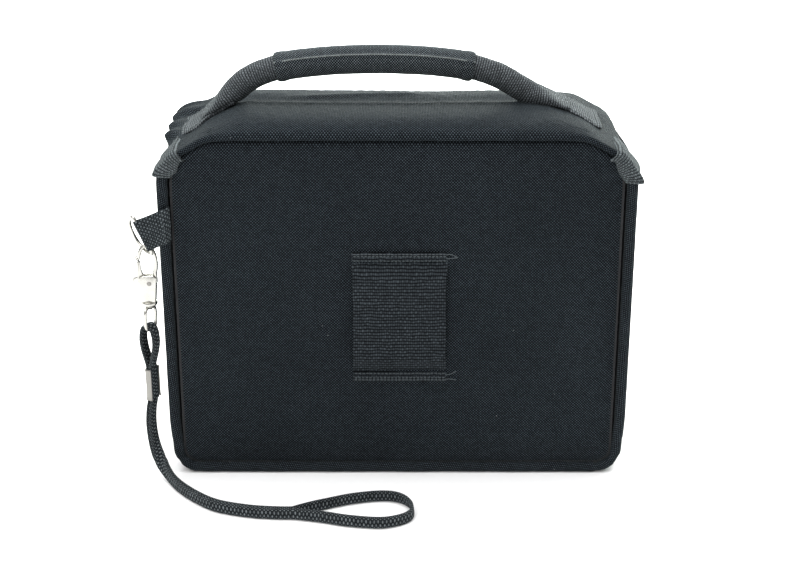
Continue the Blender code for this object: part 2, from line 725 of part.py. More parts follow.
lever_outline = [
    (1.9, -18.2), (1.9, -16.6), (0.8, -15.9), (-1.9, -14.0), (-2.8, -11.5), (-3.1, -7.6), (-4.5, -7.6),
    (-4.6, -14.6), (-6.9, -15.6), (-6.9, -17.4), (-4.3, -18.0), (-1.0, -19.0), (0.9, -19.0),
]
pin_ring = [
    (PIN_X * mm + PIN_HOLE * math.cos(turn), -PIN_BELOW * mm + PIN_HOLE * math.sin(turn))
    for turn in (math.tau * i / 12 for i in range(12))
]
clasp_lever = part(
    "clasp_lever",
    flat_curve("clasp_lever", [[(x * mm, z * mm) for x, z in lever_outline], pin_ring], 1.5 * mm),
    NICKEL, 0.25, 1.0,
)
clasp_lever.matrix_world = Matrix.Translation(clasp_place) @ Matrix.Rotation(math.pi / 2, 4, "X")

spring_line = [at_clasp(-2.6, 20.6), at_clasp(-1.2, 20.9), at_clasp(0.4, 20.9), at_clasp(1.8, 20.5)]
lever_spring = part("lever_spring", wire_curve("lever_spring", spring_line, 0.3 * mm), NICKEL, 0.3, 1.0)

# Swivel eye: a headed post in the clasp's bore with a long eye below it
across_strap = Vector((math.sin(STRAP_TURN), math.cos(STRAP_TURN), 0))
EYE_HALF_WIDTH = STRAP_WIDTH / 2 + GAP + 0.8 * mm
EYE_MIDDLE, EYE_HALF_HEIGHT = 34.9, 5.6
eye_line = []
for i in range(20):
    turn = math.tau * i / 20
    # A squarish oval, so that the flat webbing lies straight across its lower end
    sideways = math.copysign(abs(math.cos(turn)) ** 0.6, math.cos(turn))
    down = math.copysign(abs(math.sin(turn)) ** 0.5, math.sin(turn))
    level_point = at_clasp(0, EYE_MIDDLE + EYE_HALF_HEIGHT * down)
    eye_line.append(level_point + across_strap * (EYE_HALF_WIDTH * sideways))
swivel_eye = part(
    "swivel_eye", cylinder_mesh("swivel_eye", 1.0 * mm, at_clasp(0, 30), at_clasp(0, 23.2)), NICKEL, 0.2, 1.0
)
post_head = cutter("post_head", cylinder_mesh("post_head", 1.6 * mm, at_clasp(0, 23.5), at_clasp(0, 22.2)))
post_disc = cutter("post_disc", cylinder_mesh("post_disc", 2.5 * mm, at_clasp(0, 29.8), at_clasp(0, 28.6)))
eye_wire = as_mesh(cutter("eye_wire", wire_curve("eye_wire", eye_line, 0.8 * mm, closed=True)))
boolean(swivel_eye, post_head, "UNION")
boolean(swivel_eye, post_disc, "UNION")
boolean(swivel_eye, eye_wire, "UNION")

clasp_axis = axis_empty("clasp_axis", ring_touch, (0, 1, 0), ring_axis)
lever_axis = axis_empty("lever_axis", at_clasp(PIN_X, PIN_BELOW), (0, 1, 0), clasp_axis)
swivel_axis = axis_empty("swivel_axis", at_clasp(0, 28.4), (0, 0, 1), clasp_axis)
carry(clasp_axis, clasp_hook, lever_pin, lever_spring)
carry(lever_axis, clasp_lever)
carry(swivel_axis, swivel_eye)


# ---------------------------------------------------------------- wrist strap

# The webbing's small loop passes through the swivel eye and closes above the crimp.
eye_floor = CLASP_TOP - (EYE_MIDDLE + EYE_HALF_HEIGHT) * mm + 1.3 * mm
loop_top = eye_floor + GAP + STRAP_THICKNESS
loop_bottom = CRIMP_TOP + GAP


def teardrop(grow):
    """Half-widths of the small loop from its closed end to its top, grown outwards by grow."""
    top = loop_top - STRAP_THICKNESS + grow
    right = []
    for i in range(9):
        share = i / 8
        half = 0.25 * mm + 2.7 * mm * math.sin(math.pi * min(1.0, share * 1.06)) ** 0.8
        z = loop_bottom + 2.6 * mm - grow * 0.5 + (top - loop_bottom - 2.6 * mm + grow * 0.5) * share
        right.append((half + grow if share < 1 else grow * 0.4 + 0.5 * mm, z))
    return right + [(-x, z) for x, z in reversed(right)]


outer_loop = teardrop(STRAP_THICKNESS)
outer_loop = [(1.4 * mm, loop_bottom)] + outer_loop + [(-1.4 * mm, loop_bottom)]
eye_loop = part(
    "strap_eye_loop", flat_curve("strap_eye_loop", [outer_loop, teardrop(0)], STRAP_WIDTH), WEB, 0.85
)
eye_loop.matrix_world = (
    Matrix.Translation((CLASP_X, CLASP_Y, 0))
    @ Matrix.Rotation(-STRAP_TURN, 4, "Z")
    @ Matrix.Rotation(math.pi / 2, 4, "X")
)

crimp_size = (3.6 * mm, 6.8 * mm, CRIMP_TOP - CRIMP_BOTTOM)
crimp = part("strap_crimp", box_mesh("strap_crimp", crimp_size, (0, 0, 0)), NICKEL, 0.25, 1.0)
crimp.matrix_world = Matrix.Translation(
    (CLASP_X - 0.6 * mm, CLASP_Y, (CRIMP_TOP + CRIMP_BOTTOM) / 2)
) @ Matrix.Rotation(-STRAP_TURN, 4, "Z")
bevel(crimp, 0.5 * mm)
carry(swivel_axis, eye_loop, crimp)


def smooth_line(points, spacing):
    """Points every spacing along a smooth curve through the given points."""
    points = [Vector(p) for p in points]
    ends = [2 * points[0] - points[1]] + points + [2 * points[-1] - points[-2]]
    fine = []
    for before, start, end, after in zip(ends, ends[1:], ends[2:], ends[3:]):
        for i in range(16):
            t = i / 16
            fine.append(
                0.5 * (2 * start + (end - before) * t + (2 * before - 5 * start + 4 * end - after) * t * t
                       + (3 * start - before - 3 * end + after) * t ** 3)
            )
    fine.append(points[-1])
    length = sum((b - a).length for a, b in zip(fine, fine[1:]))
    count = max(2, round(length / spacing))
    step = length / count
    line, walked, due = [fine[0]], 0.0, step
    for a, b in zip(fine, fine[1:]):
        part_length = (b - a).length
        while due <= walked + part_length + 1e-9 and len(line) < count:
            line.append(a.lerp(b, (due - walked) / part_length))
            due += step
        walked += part_length
    line.append(fine[-1])
    return line


# Routes of the doubled run and of the open hand loop, in millimetres. Both rest on the ground.
GROUND = CORD_RADIUS / mm + 0.2
RUN_ROUTE = [
    (-113.3, -36.6, CRIMP_BOTTOM / mm - 0.45), (-114.3, -37.0, 32.5), (-114.6, -37.6, 25.0),
    (-113.5, -38.6, 15.8), (-110.6, -41.5, 8.2), (-106.0, -48.0, GROUND + 0.9),
    (-100.0, -57.0, GROUND), (-91.0, -67.0, GROUND), (-81.0, -74.6, GROUND),
    (-67.0, -79.2, GROUND), (-55.0, -80.8, GROUND), (-46.4, -81.0, GROUND),
]
LOOP_ROUTE = [
    (-42.0, -75.9, GROUND), (-33.0, -72.3, GROUND), (-20.0, -68.0, GROUND), (-6.0, -65.6, GROUND),
    (2.6, -68.6, GROUND), (6.8, -76.6, GROUND), (4.6, -84.6, GROUND), (-5.7, -89.4, GROUND),
    (-20.0, -88.2, GROUND), (-33.0, -85.0, GROUND), (-45.7, -82.6, GROUND),
]
for name, route in (("strap_run", RUN_ROUTE), ("strap_hand_loop", LOOP_ROUTE)):
    line = smooth_line([(x * mm, y * mm, z * mm) for x, y, z in route], 2.5 * 2 * CORD_RADIUS)
    part(name, wire_curve(name, line, CORD_RADIUS), WEB, 0.85)
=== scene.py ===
"""The looks of a small padded carry case for gaming miniatures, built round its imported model."""

import math

import bmesh
import bpy
from mathutils import Matrix, Vector, noise


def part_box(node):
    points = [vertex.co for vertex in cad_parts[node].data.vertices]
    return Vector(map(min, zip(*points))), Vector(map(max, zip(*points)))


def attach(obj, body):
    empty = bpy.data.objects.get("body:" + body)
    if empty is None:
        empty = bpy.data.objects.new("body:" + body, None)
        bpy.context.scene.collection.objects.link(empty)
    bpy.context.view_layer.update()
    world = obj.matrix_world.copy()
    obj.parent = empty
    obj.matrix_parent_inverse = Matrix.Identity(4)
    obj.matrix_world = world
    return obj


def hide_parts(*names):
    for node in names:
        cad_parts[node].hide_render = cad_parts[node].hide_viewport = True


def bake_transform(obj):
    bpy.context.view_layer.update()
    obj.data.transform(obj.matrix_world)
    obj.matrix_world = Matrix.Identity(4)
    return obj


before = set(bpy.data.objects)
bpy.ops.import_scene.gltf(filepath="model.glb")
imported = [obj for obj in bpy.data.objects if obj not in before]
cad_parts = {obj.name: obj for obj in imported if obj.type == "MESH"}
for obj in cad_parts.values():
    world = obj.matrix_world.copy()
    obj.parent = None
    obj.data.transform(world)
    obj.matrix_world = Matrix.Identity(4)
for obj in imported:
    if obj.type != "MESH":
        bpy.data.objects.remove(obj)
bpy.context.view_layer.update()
mm = 0.001


# ---- Back panel
# The padded rear wall: black woven polyester over 4 mm foam, its edges turned in and sewn down into the
# groove beside the piping and along the lid's hinge seam.

HALF_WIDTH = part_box("gusset_cover")[1].x
HALF_DEPTH = 37.5 * mm
SEAM_HEIGHT = 165 * mm
WALL_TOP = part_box("front_panel")[1].z
CORNER = 12 * mm
SHOULDER = 18 * mm
SHOULDER_HEIGHT = 142.6 * mm
SHOULDER_TURN = math.radians(60.3)
PANEL_INSET = 4.7 * mm
COVER = 1.0 * mm
THREAD_MAP = "threads"
FORWARDS = Vector((0, 1, 0))


def math_node(tree, operation, *values):
    """A Math node. Each value is a number or a socket."""
    node = tree.nodes.new("ShaderNodeMath")
    node.operation = operation
    for socket, value in zip(node.inputs, values):
        if isinstance(value, (int, float)):
            socket.default_value = value
        else:
            tree.links.new(value, socket)
    return node.outputs[0]


def blend_node(tree, share, first, second, kind="RGBA"):
    """A Mix node from first to second. Each is a value, a colour or a socket."""
    node = tree.nodes.new("ShaderNodeMix")
    node.data_type = kind
    offset = {"FLOAT": 2, "RGBA": 6}[kind]
    for index, value in ((0, share), (offset, first), (offset + 1, second)):
        if isinstance(value, bpy.types.NodeSocket):
            tree.links.new(value, node.inputs[index])
        elif kind == "RGBA" and index:
            node.inputs[index].default_value = (*value, 1.0)
        else:
            node.inputs[index].default_value = value
    return node.outputs[{"FLOAT": 0, "RGBA": 2}[kind]]


def new_group(name, inputs, outputs):
    """An empty shader node group with its group input and output nodes."""
    group = bpy.data.node_groups.new(name, "ShaderNodeTree")
    for label, kind, value in inputs:
        socket = group.interface.new_socket(label, in_out="INPUT", socket_type=kind)
        if value is not None:
            socket.default_value = value
    for label in outputs:
        group.interface.new_socket(label, in_out="OUTPUT", socket_type="NodeSocketFloat")
    return group, group.nodes.new("NodeGroupInput").outputs, group.nodes.new("NodeGroupOutput").inputs


def noise_node(tree, vector, scale, detail=2.0, roughness=0.5):
    node = tree.nodes.new("ShaderNodeTexNoise")
    node.inputs["Scale"].default_value = scale
    node.inputs["Detail"].default_value = detail
    node.inputs["Roughness"].default_value = roughness
    tree.links.new(vector, node.inputs["Vector"])
    return node.outputs["Fac"]


# Interlaced threads on a map in millimetres: balanced at rib 0, crosswise ribs that hide the warp at rib 1
threads, take, give = new_group(
    "interlaced_threads",
    [("Vector", "NodeSocketVector", None), ("Pitch U", "NodeSocketFloat", 0.6),
     ("Pitch V", "NodeSocketFloat", 0.6), ("Rib", "NodeSocketFloat", 0.0)],
    ["Height", "Weft", "Thread"],
)
drift = math_node(threads, "MULTIPLY", math_node(
    threads, "SUBTRACT", noise_node(threads, take["Vector"], 0.22), 0.5), 0.9)
split = threads.nodes.new("ShaderNodeSeparateXYZ")
threads.links.new(take["Vector"], split.inputs[0])
cell, across = [], []
for axis, pitch in ((0, "Pitch U"), (1, "Pitch V")):
    place = math_node(threads, "ADD", math_node(threads, "DIVIDE", split.outputs[axis], take[pitch]), drift)
    cell.append(math_node(threads, "FLOOR", place))
    centred = math_node(threads, "SUBTRACT", math_node(threads, "FRACT", place), 0.5)
    across.append(math_node(threads, "SUBTRACT", 1.0, math_node(
        threads, "MULTIPLY", math_node(threads, "MULTIPLY", centred, centred), 4.0)))
weft = math_node(threads, "FLOORED_MODULO", math_node(threads, "ADD", *cell), 2.0)
warp_up = math_node(threads, "MULTIPLY", math_node(threads, "POWER", across[0], 0.55),
                    math_node(threads, "MULTIPLY_ADD", across[1], 0.55, 0.45))
weft_up = math_node(threads, "MULTIPLY", math_node(threads, "POWER", across[1], 0.55),
                    math_node(threads, "MULTIPLY_ADD", across[0], 0.55, 0.45))
balanced = blend_node(threads, weft, warp_up, weft_up, "FLOAT")
ribbed = math_node(threads, "MULTIPLY", math_node(threads, "POWER", across[1], 0.7),
                   math_node(threads, "MULTIPLY_ADD", across[0], 0.35, 0.65))
threads.links.new(blend_node(threads, take["Rib"], balanced, ribbed, "FLOAT"), give["Height"])
threads.links.new(weft, give["Weft"])
mixed = threads.nodes.new("ShaderNodeCombineXYZ")
threads.links.new(cell[0], mixed.inputs[0])
threads.links.new(cell[1], mixed.inputs[1])
chance = threads.nodes.new("ShaderNodeTexWhiteNoise")
threads.links.new(mixed.outputs[0], chance.inputs["Vector"])
threads.links.new(chance.outputs["Value"], give["Thread"])

# Slow changes of tone and specks of lint over a fabric, on object coordinates
handling, take, give = new_group(
    "handled_fabric",
    [("Vector", "NodeSocketVector", None), ("Lint", "NodeSocketFloat", 0.5)],
    ["Tone", "Lint"],
)
broad = noise_node(handling, take["Vector"], 22.0, 3.0)
fine = noise_node(handling, take["Vector"], 260.0, 2.0)
handling.links.new(math_node(handling, "ADD", math_node(handling, "MULTIPLY_ADD", broad, 0.5, 0.5), math_node(
    handling, "MULTIPLY_ADD", fine, 0.36, 0.07)), give["Tone"])
specks = handling.nodes.new("ShaderNodeTexVoronoi")
specks.inputs["Scale"].default_value = 150.0
handling.links.new(take["Vector"], specks.inputs["Vector"])
near = math_node(handling, "LESS_THAN", specks.outputs["Distance"], 0.035)
rare = math_node(handling, "GREATER_THAN", noise_node(handling, take["Vector"], 75.0, 0.0), 0.6)
handling.links.new(math_node(handling, "MULTIPLY", math_node(handling, "MULTIPLY", near, rare), take["Lint"]),
                   give["Lint"])


def group_node(tree, group, vector, **values):
    node = tree.nodes.new("ShaderNodeGroup")
    node.node_tree = group
    tree.links.new(vector, node.inputs["Vector"])
    for label, value in values.items():
        node.inputs[label.replace("_", " ")].default_value = value
    return node.outputs


def bump_node(tree, height, distance, strength=1.0):
    node = tree.nodes.new("ShaderNodeBump")
    node.inputs["Distance"].default_value = distance
    node.inputs["Strength"].default_value = strength
    tree.links.new(height, node.inputs["Height"])
    return node.outputs["Normal"]


def new_material(name, roughness=0.8, metallic=0.0, **constants):
    """A material with its shader's constants set, and its tree, shader and object coordinates."""
    made = bpy.data.materials.new(name)
    made.use_nodes = True
    tree = made.node_tree
    shader = tree.nodes["Principled BSDF"]
    shader.inputs["Roughness"].default_value = roughness
    shader.inputs["Metallic"].default_value = metallic
    for label, value in constants.items():
        shader.inputs[label.replace("_", " ")].default_value = value
    return made, tree, shader.inputs, tree.nodes.new("ShaderNodeTexCoord").outputs["Object"]


def woven(name, gap, warp, weft, pitch, rib=0.0, turn=0.0, depth=0.25, sheen=0.25, lint=0.5, rough=0.82):
    """Woven cloth or webbing: gap, warp and weft are the colours of the holes and the two thread sets."""
    made, tree, shader, place = new_material(
        name, rough, Sheen_Weight=sheen, Sheen_Roughness=0.2, Sheen_Tint=(0.78, 0.92, 0.86, 1.0),
        Specular_IOR_Level=0.05)
    layout = tree.nodes.new("ShaderNodeUVMap")
    layout.uv_map = THREAD_MAP
    turned = tree.nodes.new("ShaderNodeMapping")
    turned.inputs["Rotation"].default_value = (0, 0, turn)
    tree.links.new(layout.outputs[0], turned.inputs["Vector"])
    weave = group_node(tree, threads, turned.outputs[0], Pitch_U=pitch[0], Pitch_V=pitch[1], Rib=rib)
    handled = group_node(tree, handling, place, Lint=lint)
    shown = math_node(tree, "MULTIPLY_ADD", weave["Weft"], 1 - 0.75 * rib, 0.75 * rib)
    colour = blend_node(tree, shown, warp, weft)
    colour = blend_node(tree, math_node(tree, "POWER", weave["Height"], 2.0), gap, colour)
    each = math_node(tree, "MULTIPLY_ADD", weave["Thread"], 0.5, 0.75)
    tone = math_node(tree, "MULTIPLY", handled["Tone"], each)
    scaled = tree.nodes.new("ShaderNodeVectorMath")
    scaled.operation = "SCALE"
    tree.links.new(colour, scaled.inputs[0])
    tree.links.new(tone, scaled.inputs["Scale"])
    linted = blend_node(tree, handled["Lint"], scaled.outputs[0], (0.4, 0.42, 0.42))
    tree.links.new(linted, shader["Base Color"])
    tree.links.new(math_node(tree, "MULTIPLY_ADD", weave["Height"], -0.2, rough + 0.1), shader["Roughness"])
    tree.links.new(bump_node(tree, weave["Height"], depth * mm), shader["Normal"])
    return made


def woven_grid(columns, rows, place, layout, weld=False):
    """A grid laid over place(s, t), with s and t from 0 to 1, and a thread map of layout(s, t) in mm."""
    edit = bmesh.new()
    bmesh.ops.create_grid(edit, x_segments=columns, y_segments=rows, size=0.5)
    thread_map = edit.loops.layers.uv.new(THREAD_MAP)
    for face in edit.faces:
        for loop in face.loops:
            loop[thread_map].uv = layout(loop.vert.co.x + 0.5, loop.vert.co.y + 0.5)
    for vert in edit.verts:
        vert.co = place(vert.co.x + 0.5, vert.co.y + 0.5)
    if weld:
        bmesh.ops.remove_doubles(edit, verts=edit.verts, dist=1e-6)
        bmesh.ops.recalc_face_normals(edit, faces=edit.faces)
    return edit


def capped(edit):
    """Closes the open ends of a tube."""
    bmesh.ops.holes_fill(edit, edges=[edge for edge in edit.edges if edge.is_boundary], sides=0)
    bmesh.ops.recalc_face_normals(edit, faces=edit.faces)
    return edit


def only(kind, geometry):
    return [element for element in geometry if isinstance(element, kind)]


def face_towards(edit, direction):
    """Turns an open sheet so that its faces look along the direction."""
    edit.normal_update()
    if sum((face.normal * face.calc_area() for face in edit.faces), Vector()).dot(direction) < 0:
        bmesh.ops.reverse_faces(edit, faces=edit.faces)


def piece(name, edit, finish, body, slot, replaced=(), wall=0.0, soften=0, sharp=50):
    """The finished bmesh as a named piece: wall gives a sheet its thickness, soften its subdivisions."""
    mesh = bpy.data.meshes.new(name)
    edit.to_mesh(mesh)
    edit.free()
    mesh.materials.append(finish)
    mesh.shade_smooth()
    mesh.set_sharp_from_angle(angle=math.radians(sharp))
    made = bpy.data.objects.new(name, mesh)
    bpy.context.scene.collection.objects.link(made)
    if wall:
        thickness = made.modifiers.new("wall", "SOLIDIFY")
        thickness.thickness = wall
        thickness.offset = -1
    if soften:
        rounding = made.modifiers.new("rounding", "SUBSURF")
        rounding.levels = rounding.render_levels = soften
    if body:
        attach(made, body)
    if replaced:
        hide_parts(*replaced)
    return made


def sheet(name, columns, rows, place, layout, outside, finish, body, slot, replaced=(), **options):
    """A woven grid as a named piece that faces the direction outside."""
    edit = woven_grid(columns, rows, place, layout)
    face_towards(edit, Vector(outside))
    return piece(name, edit, finish, body, slot, replaced, **options)


def hump(value, middle, width):
    """A rounded hump that is 1 at the middle and dies away over about the width."""
    return math.exp(-((value - middle) / width) ** 2)


def wobble(x, y, z):
    """Smooth chance unevenness, between -1 and 1."""
    return noise.noise(Vector((x, y, z)))


def puffed(made, holds, cap, pressure=4.0, frames=20, slack=0.0):
    """Lets air pressure fill a sewn sheet out as cloth. holds(co) is how firmly a point is sewn down."""
    scene = bpy.context.scene
    sewn = made.vertex_groups.new(name="sewn")
    before = [vert.co.copy() for vert in made.data.vertices]
    for index, co in enumerate(before):
        sewn.add([index], holds(co), "REPLACE")
    others = [change for change in made.modifiers if change.show_viewport]
    for change in others:
        change.show_viewport = False
    fill = made.modifiers.new("fill", "CLOTH")
    settings = fill.settings
    settings.quality = 6
    settings.mass = 0.05
    settings.tension_stiffness = settings.compression_stiffness = 12
    settings.shear_stiffness = 4
    settings.bending_stiffness = 0.4
    settings.use_pressure = True
    settings.uniform_pressure_force = pressure
    settings.shrink_min = -slack
    settings.vertex_group_mass = "sewn"
    settings.pin_stiffness = 4
    settings.effector_weights.gravity = 0
    fill.collision_settings.use_collision = False
    for step in range(1, frames + 1):
        scene.frame_set(step)
    filled = made.evaluated_get(bpy.context.evaluated_depsgraph_get()).to_mesh()
    moved = [vert.co - co for vert, co in zip(filled.vertices, before)]
    made.modifiers.remove(fill)
    for vert, co, move in zip(made.data.vertices, before, moved):
        if move.length > cap:
            move = move.normalized() * cap
        vert.co = co + move
    made.vertex_groups.remove(sewn)
    for change in others:
        change.show_viewport = True
    scene.frame_set(1)


def depth_inside(x, z):
    """How far a point of the rear view lies inside the case's outline."""
    x = abs(x)
    if z < CORNER and x > HALF_WIDTH - CORNER:
        return CORNER - math.hypot(x - HALF_WIDTH + CORNER, CORNER - z)
    flat = min(HALF_WIDTH - x, z, SEAM_HEIGHT - z)
    over, rise = x - HALF_WIDTH + SHOULDER, z - SHOULDER_HEIGHT
    if rise <= 0:
        return flat
    if over > 0 and math.atan2(rise, over) < SHOULDER_TURN:
        return SHOULDER - math.hypot(over, rise)
    return min(flat, SHOULDER - over * math.cos(SHOULDER_TURN) - rise * math.sin(SHOULDER_TURN))


def half_width(z, inset):
    """Half the outline's width at a height, with the outline moved inwards by inset."""
    if z < CORNER:
        return HALF_WIDTH - CORNER + math.sqrt(max(0.0, (CORNER - inset) ** 2 - (CORNER - z) ** 2))
    rise = z - SHOULDER_HEIGHT
    if rise <= 0:
        return HALF_WIDTH - inset
    radius = SHOULDER - inset
    if rise < radius * math.sin(SHOULDER_TURN):
        return HALF_WIDTH - SHOULDER + math.sqrt(radius ** 2 - rise ** 2)
    return HALF_WIDTH - SHOULDER + (radius - rise * math.sin(SHOULDER_TURN)) / math.cos(SHOULDER_TURN)


def eased(share, amount=0.5):
    """Spaces shares from 0 to 1 closer together at both ends."""
    return share * (1 - amount) + amount * (1 - math.cos(math.pi * share)) / 2


def smooth_step(value, low, high):
    share = min(1.0, max(0.0, (value - low) / (high - low)))
    return share * share * (3 - 2 * share)


cloth = woven("black_polyester", (0.001, 0.0013, 0.002), (0.003, 0.004, 0.006), (0.055, 0.070, 0.082),
              (0.67, 0.67), depth=0.3, sheen=0.06, lint=0.35)
SINK = 2.0 * mm
ROLL = 4.5 * mm
HEM = 3.5 * mm
SEAM_INSET = 2.4 * mm
SEAM_SINK = 3.2 * mm
SEAM_ROLL = 2.8 * mm


def padded_panel(name, side, top, node):
    """side is -1 for the back and 1 for the front; top is the height that the panel reaches."""

    def inset(z):
        return PANEL_INSET - (PANEL_INSET - SEAM_INSET) * smooth_step(z, 145.5 * mm, 151 * mm)

    def place(s, t):
        z = PANEL_INSET + (top - PANEL_INSET) * eased(t, 0.75)
        across = 2 * eased(s) - 1
        x = across * half_width(z, inset(z))
        rise = (2 * z / SEAM_HEIGHT - 1) ** 2
        crown = 1.3 * mm * max(0.0, (1 - across ** 2) * (1 - rise))
        edge = max(0.0, min(depth_inside(x, z) - inset(z), top - z))
        into = edge / ROLL
        free = smooth_step(z, 146 * mm, 150 * mm) if side < 0 else 0.0
        beside_piping = SINK * max(0.0, 1 - into) ** 2.2
        along_seam = SEAM_SINK * max(0.0, 1 - edge / SEAM_ROLL) ** 1.6
        sink = beside_piping * (1 - free) + along_seam * free
        ripple = 0.35 * mm * wobble(x * 26, z * 26, side * 3.1) * min(1.0, into)
        return Vector((x, side * (HALF_DEPTH + crown + ripple - sink), z))

    edit = woven_grid(84, 84, place, lambda s, t: (place(s, t).x / mm, place(s, t).z / mm))
    hem = bmesh.ops.extrude_edge_only(edit, edges=[edge for edge in edit.edges if edge.is_boundary])["geom"]
    bmesh.ops.translate(edit, vec=(0, -side * HEM, 0), verts=only(bmesh.types.BMVert, hem))
    thread_map = edit.loops.layers.uv.active
    for face in only(bmesh.types.BMFace, hem):
        for loop in face.loops:
            at = loop.vert.co
            loop[thread_map].uv = ((at.x + at.y) / mm, (at.z + at.y) / mm)
    bmesh.ops.recalc_face_normals(edit, faces=edit.faces)
    face_towards(edit, Vector((0, side, 0)))
    made = piece(name, edit, cloth, None, "cloth", [node], wall=COVER, soften=1)

    def sewn_down(co):
        return max(0.0, 1 - min(depth_inside(co.x, co.z) - inset(co.z), top - co.z) / (2 * mm))

    puffed(made, sewn_down, cap=0.9 * mm)
    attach(made, "case")


padded_panel("back_panel_cloth", -1, SEAM_HEIGHT - SEAM_INSET, "back_panel")
padded_panel("front_panel_cloth", 1, WALL_TOP, "front_panel")


# ---- Piping
# A 5 mm welt of bias-cut polyester round a cord, sewn between each panel and the gusset. It puckers where
# it turns the bottom corners.

PIPING = 2.5 * mm
PIPING_PROUD = 1.2 * mm


def outline(inset, top):
    """The right half of the rear view's outline, from the bottom's middle up to the height top."""
    line = [Vector((0, 0, inset))]
    for i in range(13):
        turn = math.pi / 2 * (i / 12 - 1)
        line.append(Vector((HALF_WIDTH - CORNER + (CORNER - inset) * math.cos(turn), 0,
                            CORNER + (CORNER - inset) * math.sin(turn))))
    for i in range(13):
        turn = SHOULDER_TURN * i / 12
        line.append(Vector((HALF_WIDTH - SHOULDER + (SHOULDER - inset) * math.cos(turn), 0,
                            SHOULDER_HEIGHT + (SHOULDER - inset) * math.sin(turn))))
    while line[-1].z > top:
        last = line.pop()
        if line[-1].z < top:
            line.append(line[-1].lerp(last, (top - line[-1].z) / (last.z - line[-1].z)))
            break
    return line


def mirrored(line):
    """The half line with its mirror image before it."""
    return [Vector((-p.x, p.y, p.z)) for p in reversed(line)] + [p for p in line if p.x > 1e-6]


def even(line, spacing):
    """Points at an even spacing along a line."""
    lengths = [0.0]
    for a, b in zip(line, line[1:]):
        lengths.append(lengths[-1] + (b - a).length)
    count = max(2, round(lengths[-1] / spacing))
    points, i = [], 0
    for step in range(count + 1):
        due = lengths[-1] * step / count
        while i < len(line) - 2 and lengths[i + 1] < due:
            i += 1
        points.append(line[i].lerp(line[i + 1], (due - lengths[i]) / (lengths[i + 1] - lengths[i])))
    return points


def line_length(line):
    return sum((b - a).length for a, b in zip(line, line[1:]))


def curved(points, spacing):
    """Points evenly spaced along a smooth curve through the given points."""
    ends = [2 * points[0] - points[1]] + points + [2 * points[-1] - points[-2]]
    fine = []
    for before, start, end, after in zip(ends, ends[1:], ends[2:], ends[3:]):
        for i in range(12):
            t = i / 12
            square, cube = 2 * before - 5 * start + 4 * end - after, 3 * start - before - 3 * end + after
            fine.append(0.5 * (2 * start + (end - before) * t + square * t * t + cube * t ** 3))
    return even(fine + [points[-1]], spacing)


def rails(line, side, closed=False):
    """For each point of a line, its sideways and upwards directions, with no needless twist."""
    found = []
    for i, point in enumerate(line):
        before = line[i - 1] if i or closed else point
        after = line[(i + 1) % len(line)] if i + 1 < len(line) or closed else point
        along = (after - before).normalized()
        side = (side - along * side.dot(along)).normalized()
        found.append((side, along.cross(side)))
    return found


def tube(line, side, section, around, closed=False):
    """A tube along a line. section(i, turn) gives the offsets sideways and upwards at a point and angle."""
    frames = rails(line, side, closed)
    spans = len(line) - (0 if closed else 1)
    length = line_length(line) / mm

    def place(s, t):
        i = round(s * spans) % len(line)
        sideways, upwards = section(i, math.tau * t)
        return line[i] + frames[i][0] * sideways + frames[i][1] * upwards

    first = [section(0, math.tau * k / around) for k in range(around + 1)]
    girth = sum(math.dist(a, b) for a, b in zip(first, first[1:])) / mm
    edit = woven_grid(spans, around, place, lambda s, t: (t * girth, s * length), weld=True)
    return edit if closed else capped(edit)


def round_section(radius):
    return lambda i, turn: (radius * math.cos(turn), radius * math.sin(turn))


bias_cloth = woven("bias_cut_polyester", (0.001, 0.0013, 0.002), (0.004, 0.005, 0.007), (0.058, 0.073, 0.084),
                   (0.55, 0.8), turn=math.radians(28), depth=0.2, sheen=0.05)

for name, side in (("back_piping", -1), ("front_piping", 1)):
    line = even(mirrored(outline(PIPING, WALL_TOP - (2 * mm if side > 0 else 0))), 1.8 * mm)
    for i, point in enumerate(line):
        point.y = side * (HALF_DEPTH - 1.3 * mm + 0.25 * mm * noise.noise(point * 60))
        point.x += math.copysign(PIPING_PROUD * smooth_step(point.z, 8 * mm, 30 * mm), point.x)
        point.z = max(point.z, PIPING * 1.03)

    def section(i, turn):
        at = line[i]
        bend = smooth_step(abs(at.x), 88 * mm, 97 * mm) * (1 - smooth_step(at.z, 8 * mm, 22 * mm))
        pucker = 1 - 0.2 * bend * max(0.0, math.sin(i * 1.15)) ** 2
        radius = PIPING * pucker * (1 + 0.03 * noise.noise(at * 140))
        return radius * math.cos(turn), radius * math.sin(turn)

    piece(name + "_welt", tube(line, FORWARDS, section, 14), bias_cloth, "case", "cloth", [name])


# ---- Gusset
# The padded band that forms the sides and the bottom, sewn between the two rows of piping. It bulges
# between them, most of all just below the lid's corners.

GUSSET_HALF = 34.2 * mm
gusset_line = even(mirrored(outline(0, WALL_TOP)), 3 * mm)
gusset_length = line_length(gusset_line)
gusset_frames = rails(gusset_line, FORWARDS)


def gusset_place(s, t):
    i = round(s * (len(gusset_line) - 1))
    at = gusset_line[i]
    y = GUSSET_HALF * (2 * eased(t, 0.35) - 1)
    out = -gusset_frames[i][1]
    across = 1 - (y / GUSSET_HALF) ** 2
    upright = smooth_step(at.z, 4 * mm, 30 * mm)
    bulge = (0.6 + 0.7 * upright + 1.5 * hump(at.z, 131 * mm, 9 * mm)) * mm * across ** 0.8
    bulge += 0.5 * mm * across * wobble(s * 21, y * 45, 4.2)
    hem = 0.5 * mm * smooth_step(at.z, WALL_TOP - 7 * mm, WALL_TOP - 5 * mm) * across ** 0.3
    place = at + out * (bulge * upright + hem - 0.4 * mm * (1 - upright)) + Vector((0, y, 0))
    place.z = max(place.z, 0.3 * mm)
    return place


